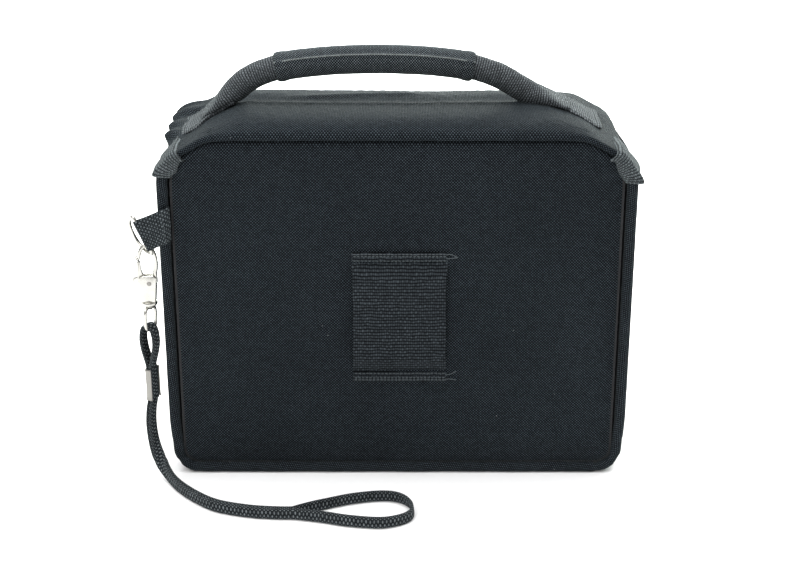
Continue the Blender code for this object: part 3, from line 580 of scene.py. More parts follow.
gusset = sheet("gusset_cloth", len(gusset_line) - 1, 26, gusset_place,
               lambda s, t: (s * gusset_length / mm, t * 2 * GUSSET_HALF / mm),
               (0, 0, -1), cloth, None, "cloth", ["gusset_cover"], wall=COVER, soften=1)
puffed(gusset, lambda co: 1.0 if co.z < 6 * mm else max(0.0, (abs(co.y) / GUSSET_HALF - 0.9) * 10),
       cap=0.8 * mm)
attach(gusset, "case")


# ---- Foam and linings
# Sheets of soft closed-cell foam behind each wall and in the lid, and a thin nylon lining sewn inside.


def rounded_copy(node, flat, corner, edge, segments):
    """The CAD solid's own shape: faces within flat degrees are merged, edges over corner degrees rounded."""
    edit = bmesh.new()
    edit.from_mesh(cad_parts[node].data)
    bmesh.ops.remove_doubles(edit, verts=edit.verts, dist=1e-5)
    bmesh.ops.dissolve_limit(edit, angle_limit=math.radians(flat), verts=edit.verts, edges=edit.edges)
    rims = [e for e in edit.edges if len(e.link_faces) == 2 and e.calc_face_angle() > math.radians(corner)]
    bmesh.ops.bevel(edit, geom=rims, offset=edge, offset_type="OFFSET", affect="EDGES", segments=segments,
                    profile=0.5, material=-1, clamp_overlap=True)
    return edit


def softened(node, finish, body, slot, edge):
    """A soft piece with the CAD solid's own shape and a thread map on each of its faces."""
    edit = rounded_copy(node, 0.5, 50, edge, 2)
    bmesh.ops.triangulate(edit, faces=[f for f in edit.faces if len(f.verts) > 4])
    thread_map = edit.loops.layers.uv.new(THREAD_MAP)
    for face in edit.faces:
        flat = max(range(3), key=lambda axis: abs(face.normal[axis]))
        keep = [axis for axis in range(3) if axis != flat]
        for loop in face.loops:
            loop[thread_map].uv = (loop.vert.co[keep[0]] / mm, loop.vert.co[keep[1]] / mm)
    return piece(node + "_soft", edit, finish, body, slot, [node], sharp=30)


def refinish(node, finish):
    """Gives a kept CAD solid its final material."""
    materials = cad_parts[node].data.materials
    materials.clear()
    materials.append(finish)


def foam_material(name, colour, cells):
    """Foam with pores of two sizes; cells is how many of the larger ones there are in a metre."""
    made, tree, shader, place = new_material(name, 0.92, Sheen_Weight=0.15)
    pores = tree.nodes.new("ShaderNodeTexVoronoi")
    pores.inputs["Scale"].default_value = cells
    tree.links.new(place, pores.inputs["Vector"])
    fine = noise_node(tree, place, cells * 2.5, 3.0)
    height = math_node(tree, "MULTIPLY", math_node(tree, "POWER", pores.outputs["Distance"], 0.6), fine)
    tone = math_node(tree, "MULTIPLY_ADD", height, 1.3, 0.45)
    broad = math_node(tree, "MULTIPLY_ADD", noise_node(tree, place, 30.0, 3.0), 0.5, 0.75)
    scaled = tree.nodes.new("ShaderNodeVectorMath")
    scaled.operation = "SCALE"
    scaled.inputs[0].default_value = colour
    tree.links.new(math_node(tree, "MULTIPLY", tone, broad), scaled.inputs["Scale"])
    tree.links.new(scaled.outputs[0], shader["Base Color"])
    tree.links.new(bump_node(tree, height, 0.5 * mm, 0.8), shader["Normal"])
    return made


wall_foam = foam_material("wall_foam", (0.010, 0.011, 0.013), 900.0)
lining = woven("nylon_lining", (0.010, 0.011, 0.012), (0.028, 0.030, 0.033), (0.040, 0.043, 0.047),
               (0.3, 0.3), depth=0.08, sheen=0.2, lint=0.2, rough=0.6)

for node, body, edge in (("back_foam", "case", 1.9), ("front_foam", "case", 1.9),
                         ("gusset_foam", "case", 0.5), ("lid_foam", "lid", 0.5)):
    softened(node, wall_foam, body, "foam", edge * mm)
for node, body in (("back_lining", "case"), ("front_lining", "case"), ("gusset_lining", "case"),
                   ("lid_lining", "lid")):
    softened(node, lining, body, "lining", 0.1 * mm)


# ---- Foam trays and bottom board
# Three stacked trays of charcoal foam with five cut pockets each hold the figures. A pressed fibre board
# stiffens the bottom under them.

tray_foam = foam_material("tray_foam", (0.075, 0.077, 0.082), 700.0)
for node in ("foam_tray_bottom", "foam_tray_middle", "foam_tray_top"):
    softened(node, tray_foam, "case", "foam", 0.7 * mm)

board, tree, shader, place = new_material("pressed_fibre_board", 0.7)
fibres = noise_node(tree, place, 500.0, 5.0, 0.7)
flakes = noise_node(tree, place, 90.0, 3.0)
tone = math_node(tree, "MULTIPLY", fibres, flakes)
tree.links.new(blend_node(tree, tone, (0.025, 0.024, 0.022), (0.20, 0.185, 0.16)), shader["Base Color"])
tree.links.new(math_node(tree, "MULTIPLY_ADD", fibres, 0.3, 0.55), shader["Roughness"])
tree.links.new(bump_node(tree, fibres, 0.15 * mm), shader["Normal"])
refinish("bottom_board", board)


# ---- Lid
# The soft top of the same cloth: a firm strip rises from the hinge seam to a low ridge, and the cloth
# behind it sags in shallow folds towards the zip. Its ends slope down over the shoulders.

LID_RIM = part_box("lid_cover")[0].z
LID_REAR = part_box("lid_cover")[0].y
LID_EDGE = 5 * mm
LID_HALF = 101.4 * mm
SEAM_HALF = 84 * mm  # half the straight part of the hinge seam
ZIP_CORNER = 6 * mm

lid_half = [p for p in outline(0, SEAM_HEIGHT) if p.z > LID_RIM + 0.5 * mm]
seam_half = [Vector((SEAM_HALF, 0, SEAM_HEIGHT)), Vector((0, 0, SEAM_HEIGHT))]
lid_half = [Vector((LID_HALF, 0, LID_RIM))] + lid_half + seam_half
lid_profile = even(mirrored(lid_half[::-1]), 2.2 * mm)
for _ in range(3):
    for i in range(1, len(lid_profile) - 1):
        lid_profile[i] = (lid_profile[i - 1] + 2 * lid_profile[i] + lid_profile[i + 1]) / 4


def lid_relief(x, y):
    """How far the lid's cloth stands above its outline."""
    across = smooth_step(92 * mm - abs(x), 0, 26 * mm)
    dome = 5.5 * mm * (1 - abs(y / HALF_DEPTH) ** (6 if y < 0 else 2.4))
    ridge = -5 * mm + 4 * mm * (x / (80 * mm)) ** 2
    crease = 0.7 * mm * hump(y, ridge, 2.2 * mm)
    sag = 1.3 * mm * hump(y, ridge + 9 * mm, 6 * mm)
    fold_y = 14 * mm + 0.09 * x
    fold = 0.9 * mm * hump(y, fold_y, 2.6 * mm) * smooth_step(x, -62 * mm, -35 * mm)
    fold *= 1 - smooth_step(x, 0, 22 * mm)
    loose = 0.7 * mm * smooth_step(y, -8 * mm, 8 * mm) * wobble(x * 24, y * 60, 7.7)
    firm = 0.25 * mm * wobble(x * 30, y * 30, 1.3)
    return across * (dome + crease - sag + fold) + loose + firm * smooth_step(y, LID_REAR, -28 * mm)


LIP = 1.6 * mm
LIP_WAY = 4.6 * mm
lid_rails = rails(lid_profile, FORWARDS)


def lid_place(s, t):
    i = round(s * (len(lid_profile) - 1))
    outward = lid_rails[i][1] if lid_rails[i][1].z > 0 else -lid_rails[i][1]
    x, z = lid_profile[i].x, lid_profile[i].z
    fall = max(0.0, z - LID_RIM)
    edge = max(0.3 * mm, min(LID_EDGE, fall * 0.8))
    flat = HALF_DEPTH - LID_REAR - edge
    way = t * (LIP_WAY + flat + edge * math.pi / 2 + max(0.0, fall - edge))
    lip, way = min(1.0, way / LIP_WAY), max(0.0, way - LIP_WAY)
    down = 0.0
    if way <= flat:
        y = LID_REAR + way
    elif way <= flat + edge * math.pi / 2:
        turn = (way - flat) / edge
        y, down = HALF_DEPTH - edge + edge * math.sin(turn), edge * (1 - math.cos(turn))
    else:
        y, down = HALF_DEPTH, edge + way - flat - edge * math.pi / 2
    curl = math.radians(-75 + 165 * lip)
    y += 0.3 * mm * (1 - smooth_step(way, 0, 8 * mm)) - LIP * math.cos(curl)
    relief = lid_relief(x, min(y, HALF_DEPTH)) * (1 - down / max(fall, edge))
    behind_foot = smooth_step(y, 12 * mm, 21 * mm)
    puff = smooth_step(-x, (93 - 7 * behind_foot) * mm, 100 * mm)
    puff *= smooth_step(y, -28 * mm, -10 * mm) * (1 - smooth_step(y, 28 * mm, 37 * mm))
    out = outward * ((4.8 * puff * (1 + 0.2 * math.sin(y / mm * 0.45))) * mm - LIP * (1 - math.sin(curl)))
    x, y, z = x + out.x, y, z + relief - down + out.z
    centre = Vector((HALF_WIDTH - 3.6 * mm - ZIP_CORNER, HALF_DEPTH - ZIP_CORNER))
    over = Vector((abs(x) - centre.x, y - centre.y))
    if over.x > 0 and over.y > 0 and over.length > ZIP_CORNER:
        over = over.normalized() * ZIP_CORNER
        x = math.copysign(centre.x + over.x, x)
        y = centre.y + over.y
    return Vector((x, y, z))


lid_length = line_length(lid_profile) / mm
lid_cloth = sheet("lid_cloth", len(lid_profile) - 1, 96, lid_place, lambda s, t: (s * lid_length, t * 84.0),
                  (0, 0, 1), cloth, None, "cloth", ["lid_cover"], wall=COVER, soften=1, sharp=70)
puffed(lid_cloth, lambda co: 1.0 if co.y < -31 * mm or co.z < LID_RIM + 4 * mm else 0.25,
       cap=0.9 * mm, slack=0.01)
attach(lid_cloth, "lid")

# A turned-in strip of the cloth joins the lid to the back inside the seam
HINGE_SECTION = [(-35.0, 158.0), (-35.3, 161.0), (-35.2, 163.2), (-34.5, 164.8), (-32.6, 165.9),
                 (-30.0, 166.6)]
hinge_across = curved([Vector((0, y, z)) * mm for y, z in HINGE_SECTION], 0.6 * mm)
HINGE_HALF = 83 * mm


def hinge_place(s, t):
    at = hinge_across[round(t * (len(hinge_across) - 1))]
    return Vector((HINGE_HALF * (2 * s - 1), at.y, at.z))


hinge_strip = sheet("lid_hinge_strip", 80, len(hinge_across) - 1, hinge_place,
                    lambda s, t: (s * 2 * HINGE_HALF / mm, t * line_length(hinge_across) / mm),
                    (0, -1, 0.3), cloth, None, "cloth", wall=0.8 * mm)
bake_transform(hinge_strip)


# ---- Zip
# A number five coil zip round three sides: ribbed woven tapes sewn to the wall and the lid, a spiral of
# nylon filament stitched to each.

ZIP_HALF_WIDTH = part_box("body_zip_tape")[1].x
ZIP_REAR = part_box("body_zip_tape")[0].y
COIL_PITCH = 1.4 * mm

tape_cloth = woven("zip_tape", (0.004, 0.004, 0.005), (0.015, 0.017, 0.020), (0.026, 0.029, 0.033),
                   (0.5, 0.7), rib=0.6, depth=0.18, sheen=0.1, lint=0.2)
filament, tree, shader, place = new_material("coil_filament", 0.38, Coat_Weight=0.15)
sheer = noise_node(tree, place, 700.0, 2.0)
tree.links.new(blend_node(tree, sheer, (0.006, 0.006, 0.007), (0.030, 0.031, 0.034)), shader["Base Color"])
tree.links.new(math_node(tree, "MULTIPLY_ADD", sheer, 0.25, 0.28), shader["Roughness"])


def zip_line(outwards, z):
    """The zip's line seen from above, moved outwards, at the height z."""
    half, front, radius = ZIP_HALF_WIDTH + outwards, HALF_DEPTH + outwards, ZIP_CORNER + outwards
    right = [Vector((half, ZIP_REAR, z))]
    for i in range(9):
        turn = math.pi / 2 * i / 8
        x, y = half - radius + radius * math.cos(turn), front - radius + radius * math.sin(turn)
        right.append(Vector((x, y, z)))
    return [Vector((-p.x, p.y, p.z)) for p in right] + right[::-1]


for part_name, side, body in (("body_zip", -1, "case"), ("lid_zip", 1, "lid")):
    tape_low, tape_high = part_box(part_name + "_tape")
    coil_low, coil_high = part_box(part_name + "_coil")
    path = even(zip_line(-0.1 * mm, 0), 2.5 * mm)

    def tape_place(s, t):
        at = path[round(s * (len(path) - 1))]
        wave = 0.12 * mm * wobble(s * 90, side, 0)
        return Vector((at.x, at.y, tape_low.z - 0.5 * mm + (tape_high.z - tape_low.z + 1.0 * mm) * t + wave))

    sheet(part_name + "_woven_tape", len(path) - 1, 6, tape_place,
          lambda s, t: (s * line_length(path) / mm, t * 3.8),
          (0, 1, 0), tape_cloth, body, "webbing", [part_name + "_tape"], wall=0.7 * mm)

    half_height = (coil_high.z - coil_low.z) / 2
    core = zip_line(0.9 * mm, (coil_high.z + coil_low.z) / 2)
    turns = round(line_length(core) / COIL_PITCH)
    steps = even(core, line_length(core) / (turns * 8))
    frames = rails(steps, Vector((0, 0, 1)))
    spiral = []
    for i, (at, (up, out)) in enumerate(zip(steps, frames)):
        turn = math.tau * i / 8 + (math.pi if side > 0 else 0)
        rise, aside = (half_height - 0.3 * mm) * math.cos(turn), 0.32 * mm * math.sin(turn)
        spiral.append(at + up * rise + out * aside)
    piece(part_name + "_spiral", tube(spiral, Vector((0, 0, 1)), round_section(0.3 * mm), 4), filament, body,
          "zip_coil", [part_name + "_coil"], sharp=80)


# ---- Stitching
# Runs of black-grey polyester thread, each stitch a short plump strand that dips into the cloth at both
# ends, along the hems, the webbing ends and the top of the walls.

sewing_thread, tree, shader, place = new_material("sewing_thread", 0.7, Sheen_Weight=0.05)
strand = noise_node(tree, place, 1500.0, 2.0)
tree.links.new(blend_node(tree, strand, (0.018, 0.024, 0.028), (0.078, 0.098, 0.106)), shader["Base Color"])
tree.links.new(bump_node(tree, strand, 0.1 * mm), shader["Normal"])


def stitch_row(name, rows, body, length=2.6 * mm, spacing=3.2 * mm, radius=0.24 * mm):
    """Stitches along rows, each a (line, outward direction) pair."""
    edit = bmesh.new()
    for line, outward in rows:
        marks = even(line, spacing)
        for a, b in zip(marks, marks[1:]):
            middle, along = a.lerp(b, 0.5), (b - a).normalized()
            out = outward(middle) if callable(outward) else outward
            out = (out - along * out.dot(along)).normalized()
            turn = Matrix((along, along.cross(out), out)).transposed().to_4x4()
            size = Matrix.Diagonal((length / 2, radius, radius, 1))
            made = bmesh.ops.create_icosphere(edit, subdivisions=1, radius=1.0,
                                              matrix=Matrix.Translation(middle) @ turn @ size)
            for vert in made["verts"]:
                share = (vert.co - middle).dot(along) / (length / 2)
                vert.co -= out * (radius * 1.2 * share * share)
    return piece(name, edit, sewing_thread, body, "webbing", sharp=80)


def panel_face(side, x, z):
    """A point on a panel's outer face, as sewn before it is filled."""
    across = 1 - (x / half_width(z, PANEL_INSET)) ** 2
    crown = 1.3 * mm * max(0.0, across * (1 - (2 * z / SEAM_HEIGHT - 1) ** 2))
    return Vector((x, side * (HALF_DEPTH + crown), z))


HEM_DROP = 5.5 * mm
front_hem = [panel_face(1, x * mm, WALL_TOP - HEM_DROP) + Vector((0, 0.9 * mm, 0)) for x in range(-92, 93, 8)]
stitch_row("front_hem_stitches", [(front_hem, FORWARDS)], "case")


# ---- Corner tabs
# Short pieces of ribbed webbing folded over both rear corners of the lid, stitched along their upper
# edge. Their lower ends curl away from the wall, with a few loose threads.

webbing = woven("ribbed_webbing", (0.002, 0.0025, 0.003), (0.022, 0.027, 0.032), (0.140, 0.160, 0.168),
                (0.75, 1.25), rib=0.7, depth=0.4, sheen=0.08, lint=0.3)
TAB_WALL = 1.3 * mm


def loose_thread(name, points, body, radius=0.14 * mm):
    line = curved([Vector(p) for p in points], 0.6 * mm)
    strand = tube(line, Vector((0.3, 1, 0.2)), round_section(radius), 6)
    piece(name, strand, sewing_thread, body, "webbing")


TAB_SECTION = [(-6.4, -38.2), (-4.6, -39.3), (-1.0, -39.6), (1.1, -38.7), (1.8, -36.4), (2.0, -30.0),
               (1.8, -22.0), (1.5, -14.8)]
tab_across = curved([Vector((out, y, 0)) for out, y in TAB_SECTION], 1.1)

for side_name, side, tab_foot, tab_head, flare in (
    ("left", -1, 146, 158.5, 1.6),
    ("right", 1, 144, 160.5, 2.4),
):
    shoulder = [p for p in outline(0.4 * mm, SEAM_HEIGHT) if tab_foot * mm < p.z < tab_head * mm]
    path = even(curved(shoulder, 0.8 * mm), 0.8 * mm)
    slopes = rails(path, FORWARDS)

    def tab_place(s, t):
        i = round(s * (len(path) - 1))
        at = path[i]
        outward = slopes[i][1] if slopes[i][1].x > 0 else -slopes[i][1]
        out, y = tab_across[round(t * (len(tab_across) - 1))][:2]
        out *= 0.62 + 0.38 * math.sin(math.pi * min(1.0, 0.08 + s)) if out < 0 else 1.0
        loose = (1 - smooth_step(s, 0.0, 0.45)) * smooth_step(t, 0.0, 0.3)
        wave = math.sin(t * 7.5 + side * 0.8)
        out += loose * flare * (1 + 0.35 * wave) + 0.35 * wobble(s * 4, t * 6, side)
        y -= loose * (0.9 + 0.4 * wave) * (1 - smooth_step(t, 0.5, 0.8))
        tuck = 1.5 * smooth_step(s, 0.9, 1.0)
        down = 1.0 * (1 - s) * math.sin(math.pi * min(1.0, t * 1.6)) ** 2
        place = at + outward * ((out - tuck) * mm) + Vector((0, y * mm, -down * mm))
        return Vector((side * place.x, place.y, place.z))

    tab_width = line_length(tab_across)
    sheet("corner_tab_%s_webbing" % side_name, len(path) - 1, len(tab_across) - 1, tab_place,
          lambda s, t: (t * tab_width, s * line_length(path) / mm),
          (side, -0.6, 0.6), webbing, "lid", "webbing", ["corner_tab_" + side_name], wall=TAB_WALL, soften=1)
    ends = []
    for share in (0.86, 0.76):
        ends.append(([tab_place(share, t) + Vector((side * 0.12, -0.1, 0.1)) * mm
                      for t in (0.04, 0.14, 0.24, 0.34, 0.5, 0.7, 0.95)],
                     lambda at: Vector((side * 0.6, -0.8 if at.y < -37.5 * mm else 0, 0.5))))
    stitch_row("corner_tab_%s_stitches" % side_name, ends, "lid", length=2.0 * mm, spacing=2.4 * mm)
    end = tab_place(0.0, 0.3)
    loose_thread("corner_tab_%s_thread" % side_name, [
        end, end + Vector((side * 1.0, -0.6, -1.2)) * mm, end + Vector((side * 2.6, -1.0, -1.0)) * mm,
        end + Vector((side * 3.6, -1.4, 0.2)) * mm], "lid")


# ---- Handle
# One length of ribbed webbing: its ends lie flat on the lid's slopes, where they are stitched down, and
# between them it is rolled round a foam cord. A wrap of cloth round the grip ends in a folded edge, with a
# painted highlight along it: a thin tube of pale cloth.

ARCH = [
    (-74.2, 175.0), (-66.3, 181.2), (-54.6, 186.0), (-45.0, 187.6), (-31.5, 189.0), (-20.0, 189.6),
    (-9.0, 189.8), (2.0, 189.6), (13.5, 189.0), (25.0, 187.8), (34.2, 186.2), (45.4, 182.4),
    (54.6, 177.2), (60.5, 174.0),
]
ROLL_RADIUS = 5.7 * mm
GRIP_RADIUS = 6.8 * mm
FOOT_HALF = 14 * mm
FOOT_LIFT = 1.2 * mm
handle_webbing = woven("rolled_webbing", (0.002, 0.0025, 0.003), (0.020, 0.024, 0.028), (0.150, 0.166, 0.178),
                       (0.95, 1.1), rib=0.7, depth=0.5, sheen=0.08, lint=0.3)
grip_cloth = woven("grip_cloth", (0.001, 0.0013, 0.002), (0.006, 0.008, 0.010), (0.165, 0.192, 0.210),
                   (0.6, 0.6), depth=0.3, sheen=0.1, lint=0.35)


def lid_height(x):
    """The height of the lid's cloth over a point of its middle line."""
    for a, b in zip(lid_profile, lid_profile[1:]):
        if a.x <= x <= b.x:
            z = a.z + (b.z - a.z) * (x - a.x) / (b.x - a.x)
            return z + lid_relief(x, 0)
    return LID_RIM


def lid_normal(x):
    return Vector((lid_height(x - mm) - lid_height(x + mm), 0, 2 * mm)).normalized()


for side_name, side, low_end, high_end in (("left", -1, 97.0, 73), ("right", 1, 91.0, 66.0)):
    xs = [side * (low_end + (high_end - low_end) * i / 24) * mm for i in range(25)]
    path = [Vector((x, 0, lid_height(x))) + lid_normal(x) * FOOT_LIFT for x in xs]

    def foot_place(s, t):
        i = round(s * (len(path) - 1))
        across = 2 * t - 1
        half = FOOT_HALF * (1 - 0.55 * smooth_step(s, 0.25, 1.0)) + (1.5 * mm if across < 0 else 0) * (1 - s)
        out = lid_normal(xs[i])
        lift = (0.5 * wobble(s * 5, t * 3, side) + 1.3 * s * s) * mm
        edge = 0.5 * mm * smooth_step(abs(across), 0.75, 1.0)
        fold = 0.8 * mm * smooth_step(0.12 - s, 0.0, 0.1)
        return path[i] + Vector((0, across * half, 0)) + out * (lift - edge + fold)

    sheet("handle_foot_%s_webbing" % side_name, 24, 24, foot_place,
          lambda s, t: (t * 2 * FOOT_HALF / mm, s * line_length(path) / mm),
          (0, 0, 1), handle_webbing, "lid", "webbing", ["handle_foot_" + side_name], wall=1.3 * mm, soften=1)
    marks = [[(share, t) for t in (0.06, 0.3, 0.5, 0.7, 0.94)] for share in (0.06, 0.14)]
    marks += [[(share, edge) for share in (0.16, 0.3, 0.45, 0.6)] for edge in (0.08, 0.92)]
    rows = [([foot_place(s, t) + lid_normal(xs[round(s * 24)]) * 0.15 * mm for s, t in row],
             Vector((side * 0.5, 0, 0.85))) for row in marks]
    stitch_row("handle_foot_%s_stitches" % side_name, rows, "lid", length=2.1 * mm, spacing=2.6 * mm)

arch = [Vector((x * mm, 0, z * mm)) for x, z in ARCH]
roots = [Vector((x * mm, 0, lid_height(x * mm) + lift * mm))
         for x, lift in ((-87.5, 1.6), (-81.0, 3.2), (68.5, 2.2), (77, 1.4))]
handle_line = curved(roots[:2] + arch + roots[2:], 1.0 * mm)
handle_length = line_length(handle_line)


def handle_section(i, turn):
    way = handle_length * i / (len(handle_line) - 1)
    rolled = smooth_step(min(way, handle_length - way), 2 * mm, 19 * mm)
    half = ROLL_RADIUS + (11.5 * mm - ROLL_RADIUS) * (1 - rolled)
    height = 1.1 * mm + (ROLL_RADIUS - 1.1 * mm) * rolled
    squareness = 0.45 + 0.55 * rolled
    c, s = math.cos(turn), math.sin(turn)
    wrinkle = 1 + 0.035 * wobble(i * 0.2, c * 2, s * 2)
    seam = 1 - 0.14 * hump(turn, math.pi / 2, 0.12) * rolled
    return (half * math.copysign(abs(c) ** squareness, c) * wrinkle,
            height * math.copysign(abs(s) ** squareness, s) * wrinkle * seam)


handle_roll = piece("handle_roll", tube(handle_line, FORWARDS, handle_section, 40), handle_webbing,
                    None, "webbing", ["handle_webbing"], sharp=80)
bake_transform(handle_roll)

grip_line = curved(arch[2:11], 1.2 * mm)
OVERLAP = math.radians(141)  # the wrap's outer edge runs along the rear, above its middle
SEAM_AFTER = 0.16  # radians from that edge to the folded rim's middle


def grip_section(i, turn):
    ends = min(i, len(grip_line) - 1 - i)
    past = (turn - OVERLAP) % math.tau
    flap = 0.75 * mm * (1 - smooth_step(past, 1.25, 1.6)) * smooth_step(past, 0.0, 0.10)
    bead = 0.25 * mm * hump(past, SEAM_AFTER, 0.08)
    dimple = 0.35 * mm * hump(past, 0.42, 0.07)
    hem = 0.35 * mm * (1 - smooth_step(ends, 2, 5)) - 0.5 * mm * (ends == 0)
    radius = GRIP_RADIUS - 0.3 * mm + flap + bead - dimple + hem + 0.12 * mm * noise.noise(grip_line[i] * 90)
    return radius * math.cos(turn), radius * math.sin(turn)


piece("handle_grip_wrap", tube(grip_line, FORWARDS, grip_section, 72), grip_cloth, "handle", "cloth",
      ["handle_grip"], sharp=80)
grip_frames = rails(grip_line, FORWARDS)
seam_turn = OVERLAP + SEAM_AFTER
seam_line = [
    at + (across * math.cos(seam_turn) + up * math.sin(seam_turn)) * (GRIP_RADIUS + 0.62 * mm)
    for at, (across, up) in zip(grip_line, grip_frames)
]
# The pale cloth of this thin tube along the wrap's folded rim is a painted highlight, light caught by the
# edge
painted_highlight_edge = woven("edge_painted_highlight_cloth", (0.05, 0.055, 0.055), (0.16, 0.18, 0.18), (0.34, 0.37, 0.36), (0.5, 0.5),
                  depth=0.1)
piece("grip_edge_painted_highlight", tube(seam_line, FORWARDS, round_section(0.3 * mm), 8), painted_highlight_edge, "handle",
      "cloth")

refinish("handle_core", foam_material("handle_core_foam", (0.06, 0.06, 0.062), 900.0))


# ---- Belt loop
# A 40 mm band of ribbed elastic webbing sewn to the back by both turned-under ends, each held by a band of
# close stitching whose thread tails were left long at the right.

elastic = woven("ribbed_elastic", (0.001, 0.0014, 0.002), (0.008, 0.010, 0.013), (0.048, 0.058, 0.066),
                (0.95, 1.5), rib=0.8, depth=0.6, sheen=0.03, lint=0.1)
loop_low, loop_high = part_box("belt_loop")
LOOP_HEIGHT = 63.0  # in mm, as its thread map is
SEWN = 4.6 * mm
BOW = 3.2 * mm


def loop_place(s, t):
    z = loop_low.z + (loop_high.z - loop_low.z) * s
    end = min(z - loop_low.z, loop_high.z - z)
    x = loop_low.x + (loop_high.x - loop_low.x) * t
    x += 0.35 * mm * wobble(s * 6, round(t) * 9.1, 0) * smooth_step(end, 0, 8 * mm)
    across = 2 * t - 1
    x += across * (1.5 - 0.5 * smooth_step(end, SEWN, 14 * mm)) * mm
    rise = BOW * smooth_step(end, SEWN, 13 * mm) * (1 - 0.10 * across ** 2)
    fold = 0.9 * mm * (1 - smooth_step(end, SEWN - 0.8 * mm, SEWN))
    press = 0.55 * mm * hump(end, SEWN, 0.6 * mm)
    ripple = 0.25 * mm * wobble(t * 3, s * 7, 2.5)
    base = panel_face(-1, x, z).y - 1.3 * mm
    return Vector((x, base - rise - fold + press + ripple, z))


sheet("belt_loop_elastic", 44, 126, lambda s, t: loop_place(t, s), lambda s, t: (s * 40.0, t * LOOP_HEIGHT),
      (0, -1, 0), elastic, "case", "webbing", ["belt_loop"], wall=1.2 * mm, soften=1)
rows = []
for end, direction in ((0.0, 1), (1.0, -1)):
    for inset in (0.7, 1.7, 3.9):
        share = end + direction * inset / LOOP_HEIGHT
        line = [loop_place(share, t) - Vector((0, 0.12 * mm, 0)) for t in (0.015, 0.25, 0.5, 0.75, 0.985)]
        rows.append((line, Vector((0, -1, 0))))
stitch_row("belt_loop_stitches", rows, "case", length=1.5 * mm, spacing=1.7 * mm, radius=0.26 * mm)
for tail, (share, drop) in enumerate(((0.955, 0.4), (0.985, 2.2), (0.05, -0.8), (0.015, 1.4))):
    root = loop_place(share, 0.985)
    loose_thread("belt_loop_tail_%d" % tail, [
        root, root + Vector((1.6, -0.3, 0.3)) * mm, root + Vector((3.4, 0.5, 0.3 - drop * 0.4)) * mm,
        root + Vector((5.0, 0.9, 0.6 - drop)) * mm], "case", 0.16 * mm)


# ---- Side tab and ring
# A folded tab of coarse basket-weave webbing, sewn into the seam beside the rear piping, carries a bent
# nickel wire ring.

TAB_SLANT = math.radians(23)
TAB_WIDTH = 15 * mm
RING_BAR = Vector((-112.7, -40.2, 120.0)) * mm
RING_HALF_LENGTH = 9.5 * mm
RING_DEPTH = 10 * mm
RING_WIRE = 0.8 * mm
RING_TURN = math.radians(53)
GROOVE_X = -100.4 * mm  # where the tab goes into the seam
TAB_REACH = 13.4  # in mm, from the ring's bar to the tab's cut ends
tab_out = Vector((-math.cos(TAB_SLANT), 0, -math.sin(TAB_SLANT)))
tab_down = Vector((math.sin(TAB_SLANT), 0, -math.cos(TAB_SLANT)))
ring_bow = tab_out * math.cos(RING_TURN) + Vector((0, math.sin(RING_TURN), 0))

basket = woven("basket_webbing", (0.001, 0.0015, 0.002), (0.018, 0.022, 0.026), (0.120, 0.140, 0.150),
               (0.9, 1.05), rib=0.2, depth=0.4, sheen=0.06, lint=0.2)
eye_radius = RING_WIRE + 0.65 * mm
fold_line = [(-TAB_REACH, 1.5), (-11.5, 0.9), (-9.0, 0.75), (-4.0, 0.75), (-1.8, 0.95)]
fold_line += [(eye_radius / mm * math.cos(a), eye_radius / mm * math.sin(a))
              for a in (math.radians(d) for d in (130, 90, 50, 20, 0, -20, -50, -90, -130))]
fold_line += [(-1.8, -0.95), (-4.0, -0.75), (-9.0, -0.75), (-11.5, -0.7), (-TAB_REACH, 1.0)]
fold_path = curved([RING_BAR + tab_out * (x * mm) + Vector((0, y * mm, 0)) for x, y in fold_line], 0.7 * mm)
fold_length = line_length(fold_path) / mm


def side_tab_place(s, t):
    at = fold_path[round(s * (len(fold_path) - 1))]
    aside = (2 * t - 1) * TAB_WIDTH / 2
    ripple = 0.18 * mm * wobble(s * 9, t * 4, 8.8)
    inwards = max(0.0, -(at - RING_BAR).dot(tab_out))
    reach = (GROOVE_X - RING_BAR.x - aside * math.sin(TAB_SLANT)) / math.cos(TAB_SLANT)
    stretch = inwards * (reach / (TAB_REACH * mm) - 1)
    return at - tab_out * stretch + tab_down * aside + Vector((0, ripple, 0))


edit = woven_grid(len(fold_path) - 1, 20, side_tab_place, lambda s, t: (t * TAB_WIDTH / mm, s * fold_length))
edit.normal_update()
if min(edit.faces, key=lambda face: face.calc_center_median().y).normal.y > 0:
    bmesh.ops.reverse_faces(edit, faces=edit.faces)
piece("side_tab_webbing", edit, basket, "case", "webbing", ["side_tab"], wall=0.6 * mm, soften=1)
crossing = [side_tab_place(0.90, t) + Vector((0, -0.7 * mm, 0)) for t in (0.04, 0.35, 0.65, 0.96)]
stitch_row("side_tab_stitches", [(crossing, Vector((0, -1, 0)))], "case", length=1.9 * mm, spacing=2.3 * mm)


def nickel_plate(name, roughness, tone):
    """Bright nickel plating with faint smudges and fine scratches."""
    made, tree, shader, place = new_material(name, roughness, 1.0)
    smudge = noise_node(tree, place, 180.0, 4.0, 0.6)
    stretched = tree.nodes.new("ShaderNodeMapping")
    stretched.inputs["Scale"].default_value = (1.0, 1.0, 0.06)
    tree.links.new(place, stretched.inputs["Vector"])
    scratches = noise_node(tree, stretched.outputs[0], 2600.0, 2.0)
    dull = tuple(value * 0.6 for value in tone)
    tree.links.new(blend_node(tree, smudge, dull, tone), shader["Base Color"])
    wear = math_node(tree, "MULTIPLY_ADD", scratches, 0.12, roughness - 0.06)
    tree.links.new(math_node(tree, "MULTIPLY_ADD", smudge, 0.14, wear), shader["Roughness"])
    tree.links.new(bump_node(tree, scratches, 0.02 * mm, 0.5), shader["Normal"])
    return made


nickel = nickel_plate("bright_nickel", 0.16, (0.62, 0.61, 0.57))


def ring_place(turn):
    along, bowed = RING_HALF_LENGTH * math.cos(turn), RING_DEPTH * math.sin(turn)
    return RING_BAR + tab_down * along + ring_bow * bowed


